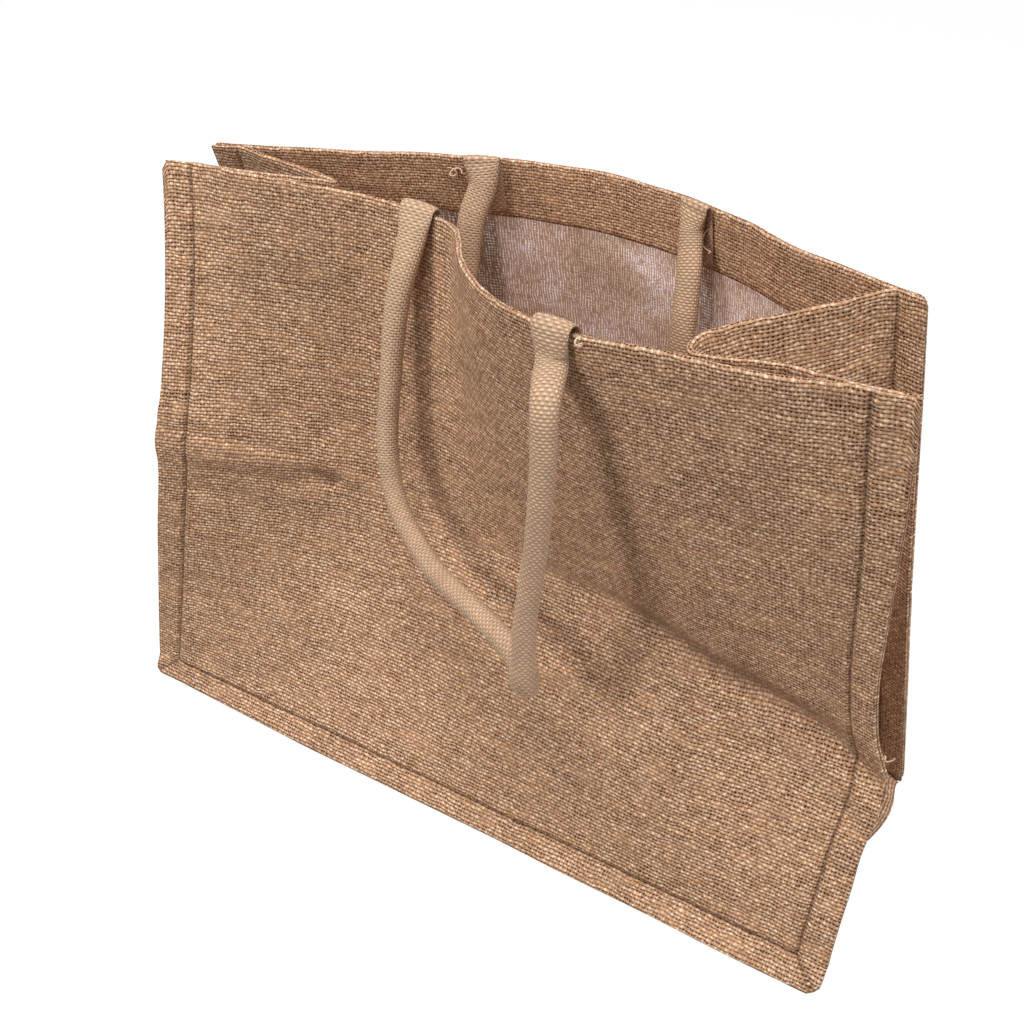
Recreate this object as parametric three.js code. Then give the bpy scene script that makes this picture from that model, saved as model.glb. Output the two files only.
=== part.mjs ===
// A jute tote bag standing half open, in millimetres, with Z up and the front towards -Y.
// Five pieces of film-backed jute are sewn into the bag: a front and a back panel, two side
// gussets that fold inwards, and a base. Their edges meet in pinched seams that stand out as
// flanges all round. Two padded cotton handles are sewn inside the mouth hem.

import * as THREE from 'three';

// Cut sizes
const PANEL_WIDTH = 430;          // front and back panel, flange edge to flange edge
const SEAM_TO_MOUTH = 307;        // bottom seam to the folded mouth edge
const SIDE_FLANGE = 15;           // pinched seam, upright
const BASE_WIDTH = 156;           // front seam to back seam
const HEM_DEPTH = 34;             // mouth hem, folded to the inside
const CLOTH = 1.8;                // panel cloth with its film
const GUSSET_CLOTH = 1.6;         // gussets and base
const HEM_LAYER = 1.4;            // what the folded hem adds inside
const GAP = 0.4;                  // clear space between two pieces

// Handles
const TUBE_RADIUS = 5.6;          // webbing sewn round a filler cord
const STRAP_HALF_WIDTH = 10;      // flat sewn end
const STRAP_HALF_THICKNESS = 1.2;
const HANDLE_ALONG = 70;          // each end, from the middle of the panel
const SEWN_DEPTH = 31;            // how far a sewn end reaches down the hem

// How the cloth stands
const SEAM_RISE = 12.4;           // the bottom seam above the surface
const FLANGE_DROP = 10;           // a bottom flange, from its seam down to its edge
const BASE_EASE = 30;             // from the seam in to where the base lies flat
const CREASE_SOFTNESS = 15;       // half the length over which a panel's crease turns
const FOLD_SOFTNESS = 7;          // the same for a gusset's centre fold

const COLOURS = { panel: '#a98261', gusset: '#9a7354', handle: '#c9ac86' };

const half = PANEL_WIDTH / 2;
const sideSeam = half - SIDE_FLANGE;
const halfBase = BASE_WIDTH / 2;
const hemTop = SEAM_TO_MOUTH - HEM_DEPTH;
const behindPanel = CLOTH / 2 + GAP + GUSSET_CLOTH / 2;
const underPanel = behindPanel + 0.3;

// Sections of a panel, one row for each place along its width:
// along       distance from the panel's middle
// slip        how far the bottom seam has slipped to the right
// foldUp      height of the crease, measured up the cloth from the bottom seam
// foldIn      how far the crease is drawn to the right
// foldY       where the crease lies, front to back
// mouthX      the mouth edge above it
// mouthY
// splay       how far the bottom flange stands out
const SECTION = ['along', 'slip', 'foldUp', 'foldIn', 'foldY', 'mouthX', 'mouthY', 'splay'];
const FRONT_SECTIONS = table(SECTION, [
  [-215, 0, 167, 17, -78, -207, -42, 6],
  [-200, 0, 166, 16, -72, -191, -40, 6],
  [-165, 0, 159, 12, -56, -157, -40, 7],
  [-130, 0, 154, 7, -38, -125, -28, 8],
  [-95, 0, 147, 3, -23, -97, -11, 9],
  [-65, 0, 143, 1, -18, -69, -8, 9],
  [-45, 0, 141, 1, -17, -51, -14, 9],
  [-28, 0, 140, 3, -18, -40, -27, 9],
  [-12, 0, 139, 5, -20, -30, -42, 9],
  [8, 0, 139, 7, -22, -15, -57, 9],
  [35, 0, 138, 8, -24, 7, -69, 9],
  [75, 0, 135, 9, -28, 45, -78, 10],
  [120, 0, 127, 8, -33, 88, -78, 10],
  [160, 1, 116, 6, -29, 127, -70, 11],
  [200, 3, 102, 4, -32, 168, -61, 11],
  [215, 5, 94, 1, -36, 184, -61, 11],
]);
const BACK_SECTIONS = table(SECTION, [
  [-215, -6, 150, 0, 70, -222, 10, 4],
  [-200, -6, 150, 0, 76, -209, 16, 5],
  [-150, -6, 150, 0, 100, -165, 43, 8],
  [-100, -6, 150, 0, 116, -121, 70, 10],
  [-50, -6, 150, 0, 124, -74, 91, 11],
  [0, -6, 150, 0, 124, -25, 97, 11],
  [50, -6, 150, 0, 116, 23, 86, 11],
  [100, -6, 150, 0, 98, 67, 64, 9],
  [150, -6, 150, 1, 74, 109, 39, 7],
  [200, -6, 150, 2, 45, 153, 28, 5],
  [215, -6, 150, 3, 38, 166, 28, 4],
]);
const FRONT = { sections: FRONT_SECTIONS, seamY: -halfBase, outward: -1 };
const BACK = { sections: BACK_SECTIONS, seamY: halfBase, outward: 1 };

// The centre fold of each side gusset on its way up the cloth: where it lies, and how far the
// back half bows outwards just short of it
const FOLD = ['up', 'x', 'y', 'bow'];
const GUSSETS = [
  {
    name: 'left_gusset',
    side: -1,
    folds: table(FOLD, [
      [0, -203, 0, 0],
      [50, -179, 0, 1],
      [100, -158, 0, 3],
      [150, -146, 0, 4],
      [200, -138, 0, 4],
      [250, -133, 1, 4],
      [307, -130, 2, 4],
    ]),
  },
  {
    name: 'right_gusset',
    side: 1,
    folds: table(FOLD, [
      [0, 199, 0, 0],
      [50, 175, -3, 1],
      [100, 150, -8, 3],
      [150, 130, -15, 5],
      [200, 115, -25, 7],
      [250, 101, -36, 9],
      [307, 88, -48, 11],
    ]),
  },
];

// The hanging part of each handle, from its left end to its right end. The tube is flattened
// where it is sharply bent.
const ROUTE = ['x', 'y', 'z', 'flat'];
const FRONT_ROUTE = table(ROUTE, [
  [-74, -25, 268, 0.2],
  [-73, -33, 228, 0],
  [-69, -41, 184, 0],
  [-57, -48, 160, 0],
  [-26, -61, 141, 0],
  [9, -75, 137, 0],
  [30, -82, 132, 0.1],
  [41, -86, 126, 0.3],
  [47, -92, 123, 0.4],
  [49, -99, 127, 0.3],
  [49, -100, 140, 0.1],
  [48, -99, 165, 0],
  [50, -98, 205, 0],
  [50, -97, 245, 0.1],
  [47, -94, 274, 0.3],
]);
const BACK_ROUTE = table(ROUTE, [
  [-92, 72, 276, 0.6],
  [-91, 65, 238, 0.4],
  [-89, 61, 190, 0.2],
  [-76, 58, 152, 0.1],
  [-44, 56, 130, 0],
  [-8, 54, 128, 0],
  [24, 53, 146, 0.1],
  [42, 54, 188, 0.3],
  [46, 56, 236, 0.5],
  [43, 63, 276, 0.6],
]);

// Where the sheets are divided
const COLUMNS = {
  front: stops([[-half, -sideSeam, 2], [-sideSeam, -90, 9], [-90, 50, 15], [50, sideSeam, 12], [sideSeam, half, 2]]),
  back: stops([[-half, -sideSeam, 2], [-sideSeam, sideSeam, 22], [sideSeam, half, 2]]),
  base: stops([[-sideSeam, -sideSeam + BASE_EASE, 3], [-sideSeam + BASE_EASE, sideSeam - BASE_EASE, 12], [sideSeam - BASE_EASE, sideSeam, 3]]),
};
const ROWS = stops([[0, 80, 4], [80, 180, 10], [180, hemTop, 5], [hemTop, hemTop + 2, 1], [hemTop + 2, SEAM_TO_MOUTH, 2]]);
const GUSSET_ROWS = [1.5, ...ROWS.slice(1)];

// Names the columns of a table, so that each row reads as one section
function table(names, rows) {
  return rows.map((row) => Object.fromEntries(names.map((name, i) => [name, row[i]])));
}

// Places from a list of stretches, each divided evenly
function stops(stretches) {
  const places = [stretches[0][0]];
  for (const [from, to, count] of stretches) {
    for (let i = 1; i <= count; i += 1) places.push(from + ((to - from) * i) / count);
  }
  return places;
}

// Reads one column of a table at any place, as a smooth curve through its rows
function read(rows, name, key, place) {
  const last = rows.length - 1;
  const at = THREE.MathUtils.clamp(place, rows[0][key], rows[last][key]);
  let i = 0;
  while (i < last - 1 && at > rows[i + 1][key]) i += 1;
  const slope = (a, b) => (rows[b][name] - rows[a][name]) / (rows[b][key] - rows[a][key]);
  const here = slope(i, i + 1);
  const start = i > 0 ? (slope(i - 1, i) + here) / 2 : here;
  const end = i < last - 1 ? (here + slope(i + 1, i + 2)) / 2 : here;
  const width = rows[i + 1][key] - rows[i][key];
  const t = (at - rows[i][key]) / width;
  const between = rows[i][name] * (1 - t) ** 2 * (1 + 2 * t) + rows[i + 1][name] * t ** 2 * (3 - 2 * t);
  return between + width * t * (1 - t) * (start * (1 - t) - end * t);
}

// The point at x, y that a straight length of cloth reaches above another
function risen(from, x, y, length) {
  const rise = Math.sqrt(Math.max(1, length ** 2 - (x - from.x) ** 2 - (y - from.y) ** 2));
  return new THREE.Vector3(x, y, from.z + rise);
}

// The middle of a panel's cloth above its bottom seam. The cloth doesn't stretch, so its
// height follows from how far the lengths below and above the crease lean.
function panelPoint(panel, along, up) {
  const value = (name) => read(panel.sections, name, 'along', along);
  const foldUp = value('foldUp');
  const seam = new THREE.Vector3(along + value('slip'), panel.seamY, SEAM_RISE);
  const mouthX = value('mouthX');
  const foldX = seam.x + ((mouthX - seam.x) * foldUp) / SEAM_TO_MOUTH + value('foldIn');
  const fold = risen(seam, foldX, value('foldY'), foldUp);
  const mouth = risen(fold, mouthX, value('mouthY'), SEAM_TO_MOUTH - foldUp);
  const lower = fold.clone().sub(seam).divideScalar(foldUp);
  const upper = mouth.sub(fold).divideScalar(SEAM_TO_MOUTH - foldUp);
  const past = up - foldUp;
  if (past > CREASE_SOFTNESS) return fold.addScaledVector(upper, past);
  const turned = Math.max(0, past + CREASE_SOFTNESS) ** 2 / (4 * CREASE_SOFTNESS);
  return seam.addScaledVector(lower, up).addScaledVector(upper.sub(lower), turned);
}

// The direction square to a panel's cloth, towards the inside of the bag
function inward(panel, along, up) {
  const low = Math.min(Math.max(up - 1, 0), SEAM_TO_MOUTH - 2);
  const across = panelPoint(panel, along + 1, up).sub(panelPoint(panel, along - 1, up));
  const rise = panelPoint(panel, along, low + 2).sub(panelPoint(panel, along, low));
  return rise.cross(across).multiplyScalar(-panel.outward).normalize();
}

// A point beside a panel's cloth, so far inside it
function beside(panel, along, up, distance) {
  return panelPoint(panel, along, up).addScaledVector(inward(panel, along, up), distance);
}

// A panel's bottom flange, from its seam (0) to its edge (1), so far under the cloth
function flangePoint(panel, along, part, distance) {
  const splay = read(panel.sections, 'splay', 'along', along);
  const slip = read(panel.sections, 'slip', 'along', along);
  const slope = new THREE.Vector3(0, panel.outward * splay, -FLANGE_DROP);
  const under = new THREE.Vector3(0, -panel.outward * FLANGE_DROP, -splay).setLength(distance);
  return new THREE.Vector3(along + slip, panel.seamY, SEAM_RISE).addScaledVector(slope, part).add(under);
}

// Gives a surface of four-cornered cells its thickness, as one closed solid. Each cell's
// corners run so that the outside of the bag is on its front.
function thickCloth(points, cells, outside, inside) {
  const normals = points.map(() => new THREE.Vector3());
  const edges = new Map();
  for (const cell of cells) {
    const [a, b, c, d] = cell.map((i) => points[i]);
    const normal = c.clone().sub(a).cross(d.clone().sub(b)).normalize();
    cell.forEach((i, k) => {
      const next = cell[(k + 1) % 4];
      normals[i].add(normal);
      if (!edges.delete(`${next},${i}`)) edges.set(`${i},${next}`, [i, next]);
    });
  }
  normals.forEach((normal) => normal.normalize());
  const count = points.length;
  const outer = points.map((point, i) => point.clone().addScaledVector(normals[i], outside(i)));
  const inner = points.map((point, i) => point.clone().addScaledVector(normals[i], -inside(i)));
  const triangles = [];
  for (const [a, b, c, d] of cells) {
    triangles.push(a, b, c, a, c, d);
    triangles.push(a + count, c + count, b + count, a + count, d + count, c + count);
  }
  for (const [a, b] of edges.values()) triangles.push(a, a + count, b, b, a + count, b + count);
  return solid([...outer, ...inner], triangles);
}

function solid(points, triangles) {
  const geometry = new THREE.BufferGeometry();
  geometry.setFromPoints(points);
  geometry.setIndex(triangles);
  geometry.computeVertexNormals();
  return geometry;
}

// The cells of a grid of points, row after row, turned over where asked
function gridCells(rowCount, width, turned) {
  const cells = [];
  for (let row = 0; row < rowCount - 1; row += 1) {
    for (let k = 0; k < width - 1; k += 1) {
      const i = row * width + k;
      const cell = [i, i + 1, i + width + 1, i + width];
      cells.push(turned ? cell.reverse() : cell);
    }
  }
  return cells;
}

// A front or back panel with its bottom flange and its hem
function panelSolid(panel, columns) {
  const points = [];
  const hem = [];
  for (const part of [1, 0.5]) {
    for (const along of columns) points.push(flangePoint(panel, along, part, 0));
  }
  hem.length = points.length;
  hem.fill(0);
  for (const up of ROWS) {
    for (const along of columns) {
      points.push(panelPoint(panel, along, up));
      hem.push(up > hemTop && Math.abs(along) < sideSeam - 1 ? HEM_LAYER : 0);
    }
  }
  const cells = gridCells(ROWS.length + 2, columns.length, panel === BACK);
  return thickCloth(points, cells, () => CLOTH / 2, (i) => CLOTH / 2 + hem[i]);
}

// A side gusset: a flange behind the front panel's flange, two halves with the fold between
// them, a flange behind the back panel's, and a flange along the base.
function gussetSolid(gusset) {
  const points = [];
  const hem = [];
  let fold = new THREE.Vector3(gusset.folds[0].x, gusset.folds[0].y, SEAM_RISE);
  let lastUp = 0;
  let width = 0;
  for (const up of GUSSET_ROWS) {
    const value = (name) => read(gusset.folds, name, 'up', up);
    fold = risen(fold, value('x'), value('y'), up - lastUp);
    lastUp = up;
    const section = gussetSection(gusset, up, fold);
    width = section.length;
    section.forEach((point, i) => {
      const free = i > 2 && i < width - 3;
      points.push(point);
      hem.push(up > hemTop && free ? HEM_LAYER : 0);
    });
  }
  const cells = gridCells(GUSSET_ROWS.length, width, gusset.side > 0);
  const first = points.length;
  const low = points.slice(2, width - 2);
  for (const point of low) {
    points.push(gussetFlangeEdge(gusset, point));
    hem.push(0);
  }
  for (let i = 0; i < low.length - 1; i += 1) {
    const cell = [first + i, first + i + 1, i + 3, i + 2];
    cells.push(gusset.side > 0 ? cell.reverse() : cell);
  }
  const thickness = GUSSET_CLOTH / 2;
  return thickCloth(points, cells, () => thickness, (i) => thickness + hem[i]);
}

// The line of a gusset at one height, from the front flange's edge to the back flange's
function gussetSection(gusset, up, fold) {
  const flange = (panel, out) => beside(panel, gusset.side * (sideSeam + out), up, behindPanel);
  const frontFlange = [flange(FRONT, SIDE_FLANGE), flange(FRONT, SIDE_FLANGE / 2)];
  const frontSeam = flange(FRONT, 0.6);
  const backSeam = flange(BACK, 0.6);
  const backFlange = [flange(BACK, SIDE_FLANGE / 2), flange(BACK, SIDE_FLANGE)];
  const bend = fold.clone().add(frontSeam.clone().sub(fold).setLength(FOLD_SOFTNESS));
  const bowed = backSeam.clone().lerp(fold, 0.8);
  bowed.x -= gusset.side * read(gusset.folds, 'bow', 'up', up);
  const frontHalf = [0, 0.25, 0.5, 0.75].map((t) => frontSeam.clone().lerp(bend, t));
  const turn = new THREE.QuadraticBezierCurve3(bend, fold, fold.clone().lerp(bowed, 0.45)).getPoints(3);
  const backHalf = [1, 0.66, 0.33, 0].map((t) => backSeam.clone().lerp(bowed, t));
  return [...frontFlange, ...frontHalf, ...turn, ...backHalf, ...backFlange];
}

// The edge of a gusset's bottom flange, out and down from a point of its bottom seam
function gussetFlangeEdge(gusset, seam) {
  return new THREE.Vector3(seam.x + gusset.side * (SIDE_FLANGE - 1), seam.y * 0.96, SEAM_RISE - FLANGE_DROP);
}

// The base lies flat in its middle, rises to the seams, and runs out under the flanges of the
// panels and the gussets.
function baseSolid() {
  const lie = GUSSET_CLOTH / 2;
  const columns = COLUMNS.base;
  const depths = stops([[-halfBase, -halfBase + BASE_EASE, 3], [-halfBase + BASE_EASE, halfBase - BASE_EASE, 4],
    [halfBase - BASE_EASE, halfBase, 3]]);
  const points = [];
  const slip = (along, y) => {
    const ends = [FRONT, BACK].map((panel) => read(panel.sections, 'slip', 'along', along));
    return THREE.MathUtils.lerp(ends[0], ends[1], (y + halfBase) / BASE_WIDTH);
  };
  for (const y of depths) {
    for (const along of columns) {
      const panel = y < 0 ? FRONT : BACK;
      const edge = flangePoint(panel, along, 0, underPanel);
      const nearest = Math.min(sideSeam - Math.abs(along), halfBase - Math.abs(y));
      const down = THREE.MathUtils.smoothstep(nearest, 0, BASE_EASE);
      const x = along * (1 - 1.6 / sideSeam) + slip(along, y);
      const z = THREE.MathUtils.lerp(SEAM_RISE - 1.9, lie, down);
      points.push(new THREE.Vector3(x, (y * edge.y) / panel.seamY, z));
    }
  }
  const width = columns.length;
  const count = depths.length;
  const cells = gridCells(count, width, true);
  const addFlange = (inner, outer, turned) => {
    const first = points.length;
    points.push(...outer);
    for (let i = 0; i < inner.length - 1; i += 1) {
      const cell = [first + i, first + i + 1, inner[i + 1], inner[i]];
      cells.push(turned ? cell : cell.reverse());
    }
  };
  const frontRow = columns.map((along, k) => k);
  const backRow = frontRow.map((k) => k + width * (count - 1));
  const endRow = (k) => depths.map((y, row) => row * width + k);
  const run = (point, side) => point.clone().add(new THREE.Vector3(side * (SIDE_FLANGE - 2.6), -point.y * 0.04, 0)).setZ(lie + 0.3);
  addFlange(frontRow, columns.map((along) => flangePoint(FRONT, along, 0.96, underPanel)), false);
  addFlange(backRow, columns.map((along) => flangePoint(BACK, along, 0.96, underPanel)), true);
  addFlange(endRow(0), endRow(0).map((i) => run(points[i], -1)), true);
  addFlange(endRow(width - 1), endRow(width - 1).map((i) => run(points[i], 1)), false);
  return thickCloth(points, cells, () => lie, () => lie);
}

// A handle: two flat sewn ends inside the hem, and a padded tube between them that hangs over
// the mouth edge or back down inside it
function handleSolid(panel, route, passesOver) {
  const left = handleEnd(panel, -HANDLE_ALONG, passesOver);
  const right = handleEnd(panel, HANDLE_ALONG, passesOver);
  const hanging = route.map((row, i) => ({
    point: new THREE.Vector3(row.x, row.y, row.z),
    flat: row.flat,
    across: left.across.clone().lerp(right.across, (i + 1) / (route.length + 1)),
  }));
  const stations = [...left.stations, ...hanging, ...right.stations.reverse()];
  const path = new THREE.CatmullRomCurve3(stations.map((station) => station.point), false, 'centripetal');
  const sides = 10;
  const last = stations.length - 1;
  const rings = last * 3;
  const points = [];
  for (let i = 0; i <= rings; i += 1) {
    const t = i / rings;
    const from = Math.min(last - 1, Math.floor(t * last));
    const flat = THREE.MathUtils.lerp(stations[from].flat, stations[from + 1].flat, t * last - from);
    const tangent = path.getTangent(t);
    const wide = stations[from].across.clone().lerp(stations[from + 1].across, t * last - from);
    wide.addScaledVector(tangent, -wide.dot(tangent)).normalize();
    const deep = tangent.clone().cross(wide);
    wide.multiplyScalar(THREE.MathUtils.lerp(TUBE_RADIUS, STRAP_HALF_WIDTH, flat));
    deep.multiplyScalar(THREE.MathUtils.lerp(TUBE_RADIUS, STRAP_HALF_THICKNESS, flat));
    for (let k = 0; k < sides; k += 1) {
      const angle = (2 * Math.PI * k) / sides;
      const around = path.getPoint(t).addScaledVector(wide, Math.cos(angle)).addScaledVector(deep, Math.sin(angle));
      points.push(around);
    }
  }
  return ringSolid(points, rings + 1, sides);
}

// The stations of one end, from its sewn edge to where it hangs free. Each gives how far it is
// past the mouth edge, how far inside the panel's cloth, and how flat the webbing is.
function handleEnd(panel, along, passesOver) {
  const sewn = CLOTH / 2 + HEM_LAYER + GAP + STRAP_HALF_THICKNESS + 0.35;
  const second = sewn + 2 * STRAP_HALF_THICKNESS + GAP;
  const outer = -(CLOTH / 2 + GAP + STRAP_HALF_THICKNESS);
  const over = [[0, sewn + 0.3, 1], [2.7, 2.5, 1], [3.2, 0.5, 1], [2, -2.2, 1], [-2, outer - 1.4, 0.95], [-12, outer - 3.4, 0.6]];
  const turned = [[0, sewn + 0.5, 1], [2.4, sewn + 1.3, 1], [2.4, second + 0.5, 1], [0, second + 1.3, 1], [-10, second + 2.8, 0.85]];
  const placed = [[-SEWN_DEPTH, sewn, 1], [-16, sewn, 1], [-4, sewn + 0.2, 1], ...(passesOver ? over : turned)];
  const next = panelPoint(panel, along + 8, SEAM_TO_MOUTH);
  const across = next.sub(panelPoint(panel, along - 8, SEAM_TO_MOUTH)).normalize();
  const stations = placed.map(([past, inside, flat]) => (
    { point: beside(panel, along, SEAM_TO_MOUTH + past, inside), flat, across }));
  return { stations, across };
}

// Closes a run of rings into a solid with two flat ends
function ringSolid(points, ringCount, sides) {
  const triangles = [];
  for (let ring = 0; ring < ringCount - 1; ring += 1) {
    for (let k = 0; k < sides; k += 1) {
      const a = ring * sides + k;
      const b = ring * sides + ((k + 1) % sides);
      triangles.push(a, b, a + sides, b, b + sides, a + sides);
    }
  }
  const end = (ringCount - 1) * sides;
  for (let k = 1; k < sides - 1; k += 1) triangles.push(0, k + 1, k, end, end + k, end + k + 1);
  return solid(points, triangles);
}

function piece(name, geometry, colour, roughness) {
  const mesh = new THREE.Mesh(geometry, new THREE.MeshStandardMaterial({ color: colour, roughness, metalness: 0 }));
  mesh.name = name;
  return mesh;
}

const bag = new THREE.Group();
bag.add(piece('front_panel', panelSolid(FRONT, COLUMNS.front), COLOURS.panel, 0.9));
bag.add(piece('back_panel', panelSolid(BACK, COLUMNS.back), COLOURS.panel, 0.9));
for (const gusset of GUSSETS) bag.add(piece(gusset.name, gussetSolid(gusset), COLOURS.gusset, 0.9));
bag.add(piece('base', baseSolid(), COLOURS.gusset, 0.9));
bag.add(piece('front_handle', handleSolid(FRONT, FRONT_ROUTE, true), COLOURS.handle, 0.85));
bag.add(piece('back_handle', handleSolid(BACK, BACK_ROUTE, false), COLOURS.handle, 0.85));

// The origin lies on the surface, under the middle of the bag's box
const middle = new THREE.Box3().setFromObject(bag).getCenter(new THREE.Vector3());
bag.position.set(-middle.x, -middle.y, 0);

export default bag;
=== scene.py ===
import math

import bmesh
import bpy
import numpy as np
from bpy.props import FloatProperty, FloatVectorProperty, PointerProperty
from mathutils import Matrix, Vector


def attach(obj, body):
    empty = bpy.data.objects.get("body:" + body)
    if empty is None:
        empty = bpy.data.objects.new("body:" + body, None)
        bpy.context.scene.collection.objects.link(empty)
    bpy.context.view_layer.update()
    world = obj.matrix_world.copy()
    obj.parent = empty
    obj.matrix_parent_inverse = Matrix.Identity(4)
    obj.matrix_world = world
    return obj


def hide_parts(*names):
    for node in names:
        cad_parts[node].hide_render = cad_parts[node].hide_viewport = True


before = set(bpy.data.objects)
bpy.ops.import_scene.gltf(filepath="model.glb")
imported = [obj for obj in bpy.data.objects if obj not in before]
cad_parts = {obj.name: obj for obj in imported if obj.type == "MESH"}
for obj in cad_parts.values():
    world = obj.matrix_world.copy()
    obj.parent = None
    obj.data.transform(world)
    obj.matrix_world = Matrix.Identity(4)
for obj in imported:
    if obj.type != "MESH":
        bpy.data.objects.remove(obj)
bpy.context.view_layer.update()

bl_info = {
    "name": "Jute tote bag",
    "version": (1, 0, 0),
    "blender": (4, 5, 0),
    "location": "View3D > Sidebar > Tote",
    "description": "Dresses the packed jute tote bag: cloth, hems, handles, stitches and finishes",
    "category": "Object",
}

MM = 0.001

# How the bag is cut and how it stands, in millimetres. The tables are the source's own, so that
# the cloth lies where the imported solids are.
MIDDLE = np.array((1.171, -9.446, 0.0))     # from the cutting frame to the row frame
HALF = 215.0                                # half a panel, out to the flange edge
SIDE_FLANGE = 15.0
SIDE_SEAM = HALF - SIDE_FLANGE
HALF_BASE = 78.0                            # half the base and half a gusset, to the seam
SEAM_TO_MOUTH = 307.0
SEAM_RISE = 12.4
FLANGE_DROP = 10.0
PANEL_FACE = 0.9                            # from the middle of a panel's cloth to its outer face
GUSSET_FACE = 0.8
BEHIND_PANEL = 2.1                          # the gusset's cloth behind the panel's in a flange
UNDER_PANEL = 2.4
INNER_CLOTH = 0.93                          # thickness of the gussets' and base's cloth, as a share
HEM_LAYER = 1.4
HEM_EDGE = (270, 275)                       # where the hem starts to add its own thickness
MOUTH_EASE = (250, 300)                     # where the mouth's own waves fade out
SEAM_EASE = (4, 30)                         # where the cloth's waves fade out
HEM_TURN = (22, 45, 68, 90, 112, 135, 158)  # angles of its rows as it goes over the mouth
HEM_ROWS = 13
MOUTH_CORNER = 4.0                          # radius of a panel's upper corners
BENDS = ((2.0, 7.0), (5.0, 5.0))            # of the bottom corners, left and right: front, back
GUSSET_FOOT = 1.5                           # where a gusset's own line starts
GUSSET_REACH = 16.0                         # how far its cloth goes on below its bottom seam
FOLD_SOFTNESS = 7.0
BASE_EASE = 30.0
END_FLANGE, LONG_FLANGE = 12.4, 12.0        # of the base
STRAP_HALF_WIDTH = 10.0
STRAP_HALF_THICKNESS = 1.2
HANDLE_ALONG = 70.0
HANDLE_SIDES, HANDLE_ROUND = 32, 36         # faces round a handle, and yarns
SEWN_DEPTH = 31.0
STITCH_LENGTH, STITCH_PITCH, STITCH_SINK = 3.1, 4.1, -0.95
THREAD_RADIUS = 0.42
FIBRE_COUNTS = (1100, 240, 110)             # along the mouth, each side and the bottom
TUFT = 300                                  # points of fibres that are joined at a time

# Each light: place, height it is aimed at, size, power and colour
LIGHTS = (
    ("Key", (-0.92, -2.05, 1.2), 0.15, 0.55, 22.5, (1.0, 0.98, 0.95)),
    ("Top", (-0.1, -0.42, 1.6), 0.15, 0.8, 20.0, (1.0, 0.98, 0.95)),
    ("Side", (1.5, 0.08, 0.55), 0.15, 0.9, 10.5, (1.0, 0.98, 0.96)),
    ("Back", (0.2, 1.4, 1.3), 0.25, 1.2, 4.0, (1.0, 1.0, 1.0)),
)
GOLDEN, FILM_WARM, FILM_ROSY = (1.16, 1.06, 0.84), (1.08, 0.99, 0.84), (0.96, 0.99, 1.08)

# The columns of each panel's tables, which follow the place along the panel:
# - its slip at the bottom seam, the crease, the mouth and the splay of the bottom flange
# - how softly the cloth turns at its crease, and how strongly it rolls over below and dips above
# - how far it bellies out halfway below and above the crease
# - how worn it is, and how much painted crease shade it takes, along a line this far above the
#   crease
# - going up instead of along, how far its side edges stand out beyond the straight cut
FRONT_TABLES = {
    "slip foldUp foldIn foldY mouthX mouthY splay": (
        (-215, 0, 167, 17, -78, -207, -42, 6), (-200, 0, 166, 16, -72, -191, -40, 6),
        (-165, 0, 159, 12, -56, -157, -40, 7), (-130, 0, 154, 7, -38, -125, -28, 8),
        (-95, 0, 147, 3, -23, -97, -11, 9), (-65, 0, 143, 1, -18, -69, -8, 9),
        (-45, 0, 141, 1, -17, -51, -14, 9), (-28, 0, 140, 3, -18, -40, -27, 9),
        (-12, 0, 139, 5, -20, -30, -42, 9), (8, 0, 139, 7, -22, -15, -57, 9),
        (35, 0, 138, 8, -24, 7, -69, 9), (75, 0, 135, 9, -28, 45, -78, 10),
        (120, 0, 127, 8, -33, 88, -78, 10), (160, 1, 116, 6, -29, 127, -70, 11),
        (200, 3, 102, 4, -32, 168, -61, 11), (215, 5, 94, 1, -36, 184, -61, 11),
    ),
    "softness": ((-215, 5), (-150, 6), (-120, 9), (-60, 18), (60, 16), (150, 13), (215, 9)),
    "roll": (
        (-215, 1.2), (-150, 1.2), (-90, 0.6), (-30, 0.6), (30, 1.2), (80, 2.2), (140, 3.2),
        (190, 3.6), (215, 3.2),
    ),
    "lower upper": (
        (-215, -1, -4), (-160, -5, -6), (-110, -4, -4), (-50, 0, 0), (40, 3, 2), (120, 5, 3),
        (200, 3, 2), (215, 2, 1),
    ),
    "wear line": (
        (-215, 0.5, -5), (-170, 0.6, -5), (-125, 0.7, -3), (-100, 0.25, -4), (-30, 0.3, -2),
        (30, 0.6, 2), (80, 0.9, 5), (130, 0.9, 1), (160, 0.9, 5), (195, 0.7, 14), (215, 0.4, 20),
    ),
    "left right": (
        (-15, -2.6, -5.7), (0, 0.0, -5.8), (20, 1.2, -4.6), (40, 2.0, -2.8), (60, 2.4, -1.6),
        (80, 2.4, 1.6), (90, 2.4, 2.2), (100, 2.2, 1.4), (110, 2.0, -0.6), (120, 1.8, -3.0),
        (132, 1.6, -4.2), (150, 2.0, -4.8), (162, 2.8, -4.6), (172, 2.2, -4.0), (185, 0.6, -3.0),
        (200, 0.3, -2.0), (230, 0.2, 0.2), (260, 0.3, 2.0), (307, 0.5, 3.4),
    ),
}
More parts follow.
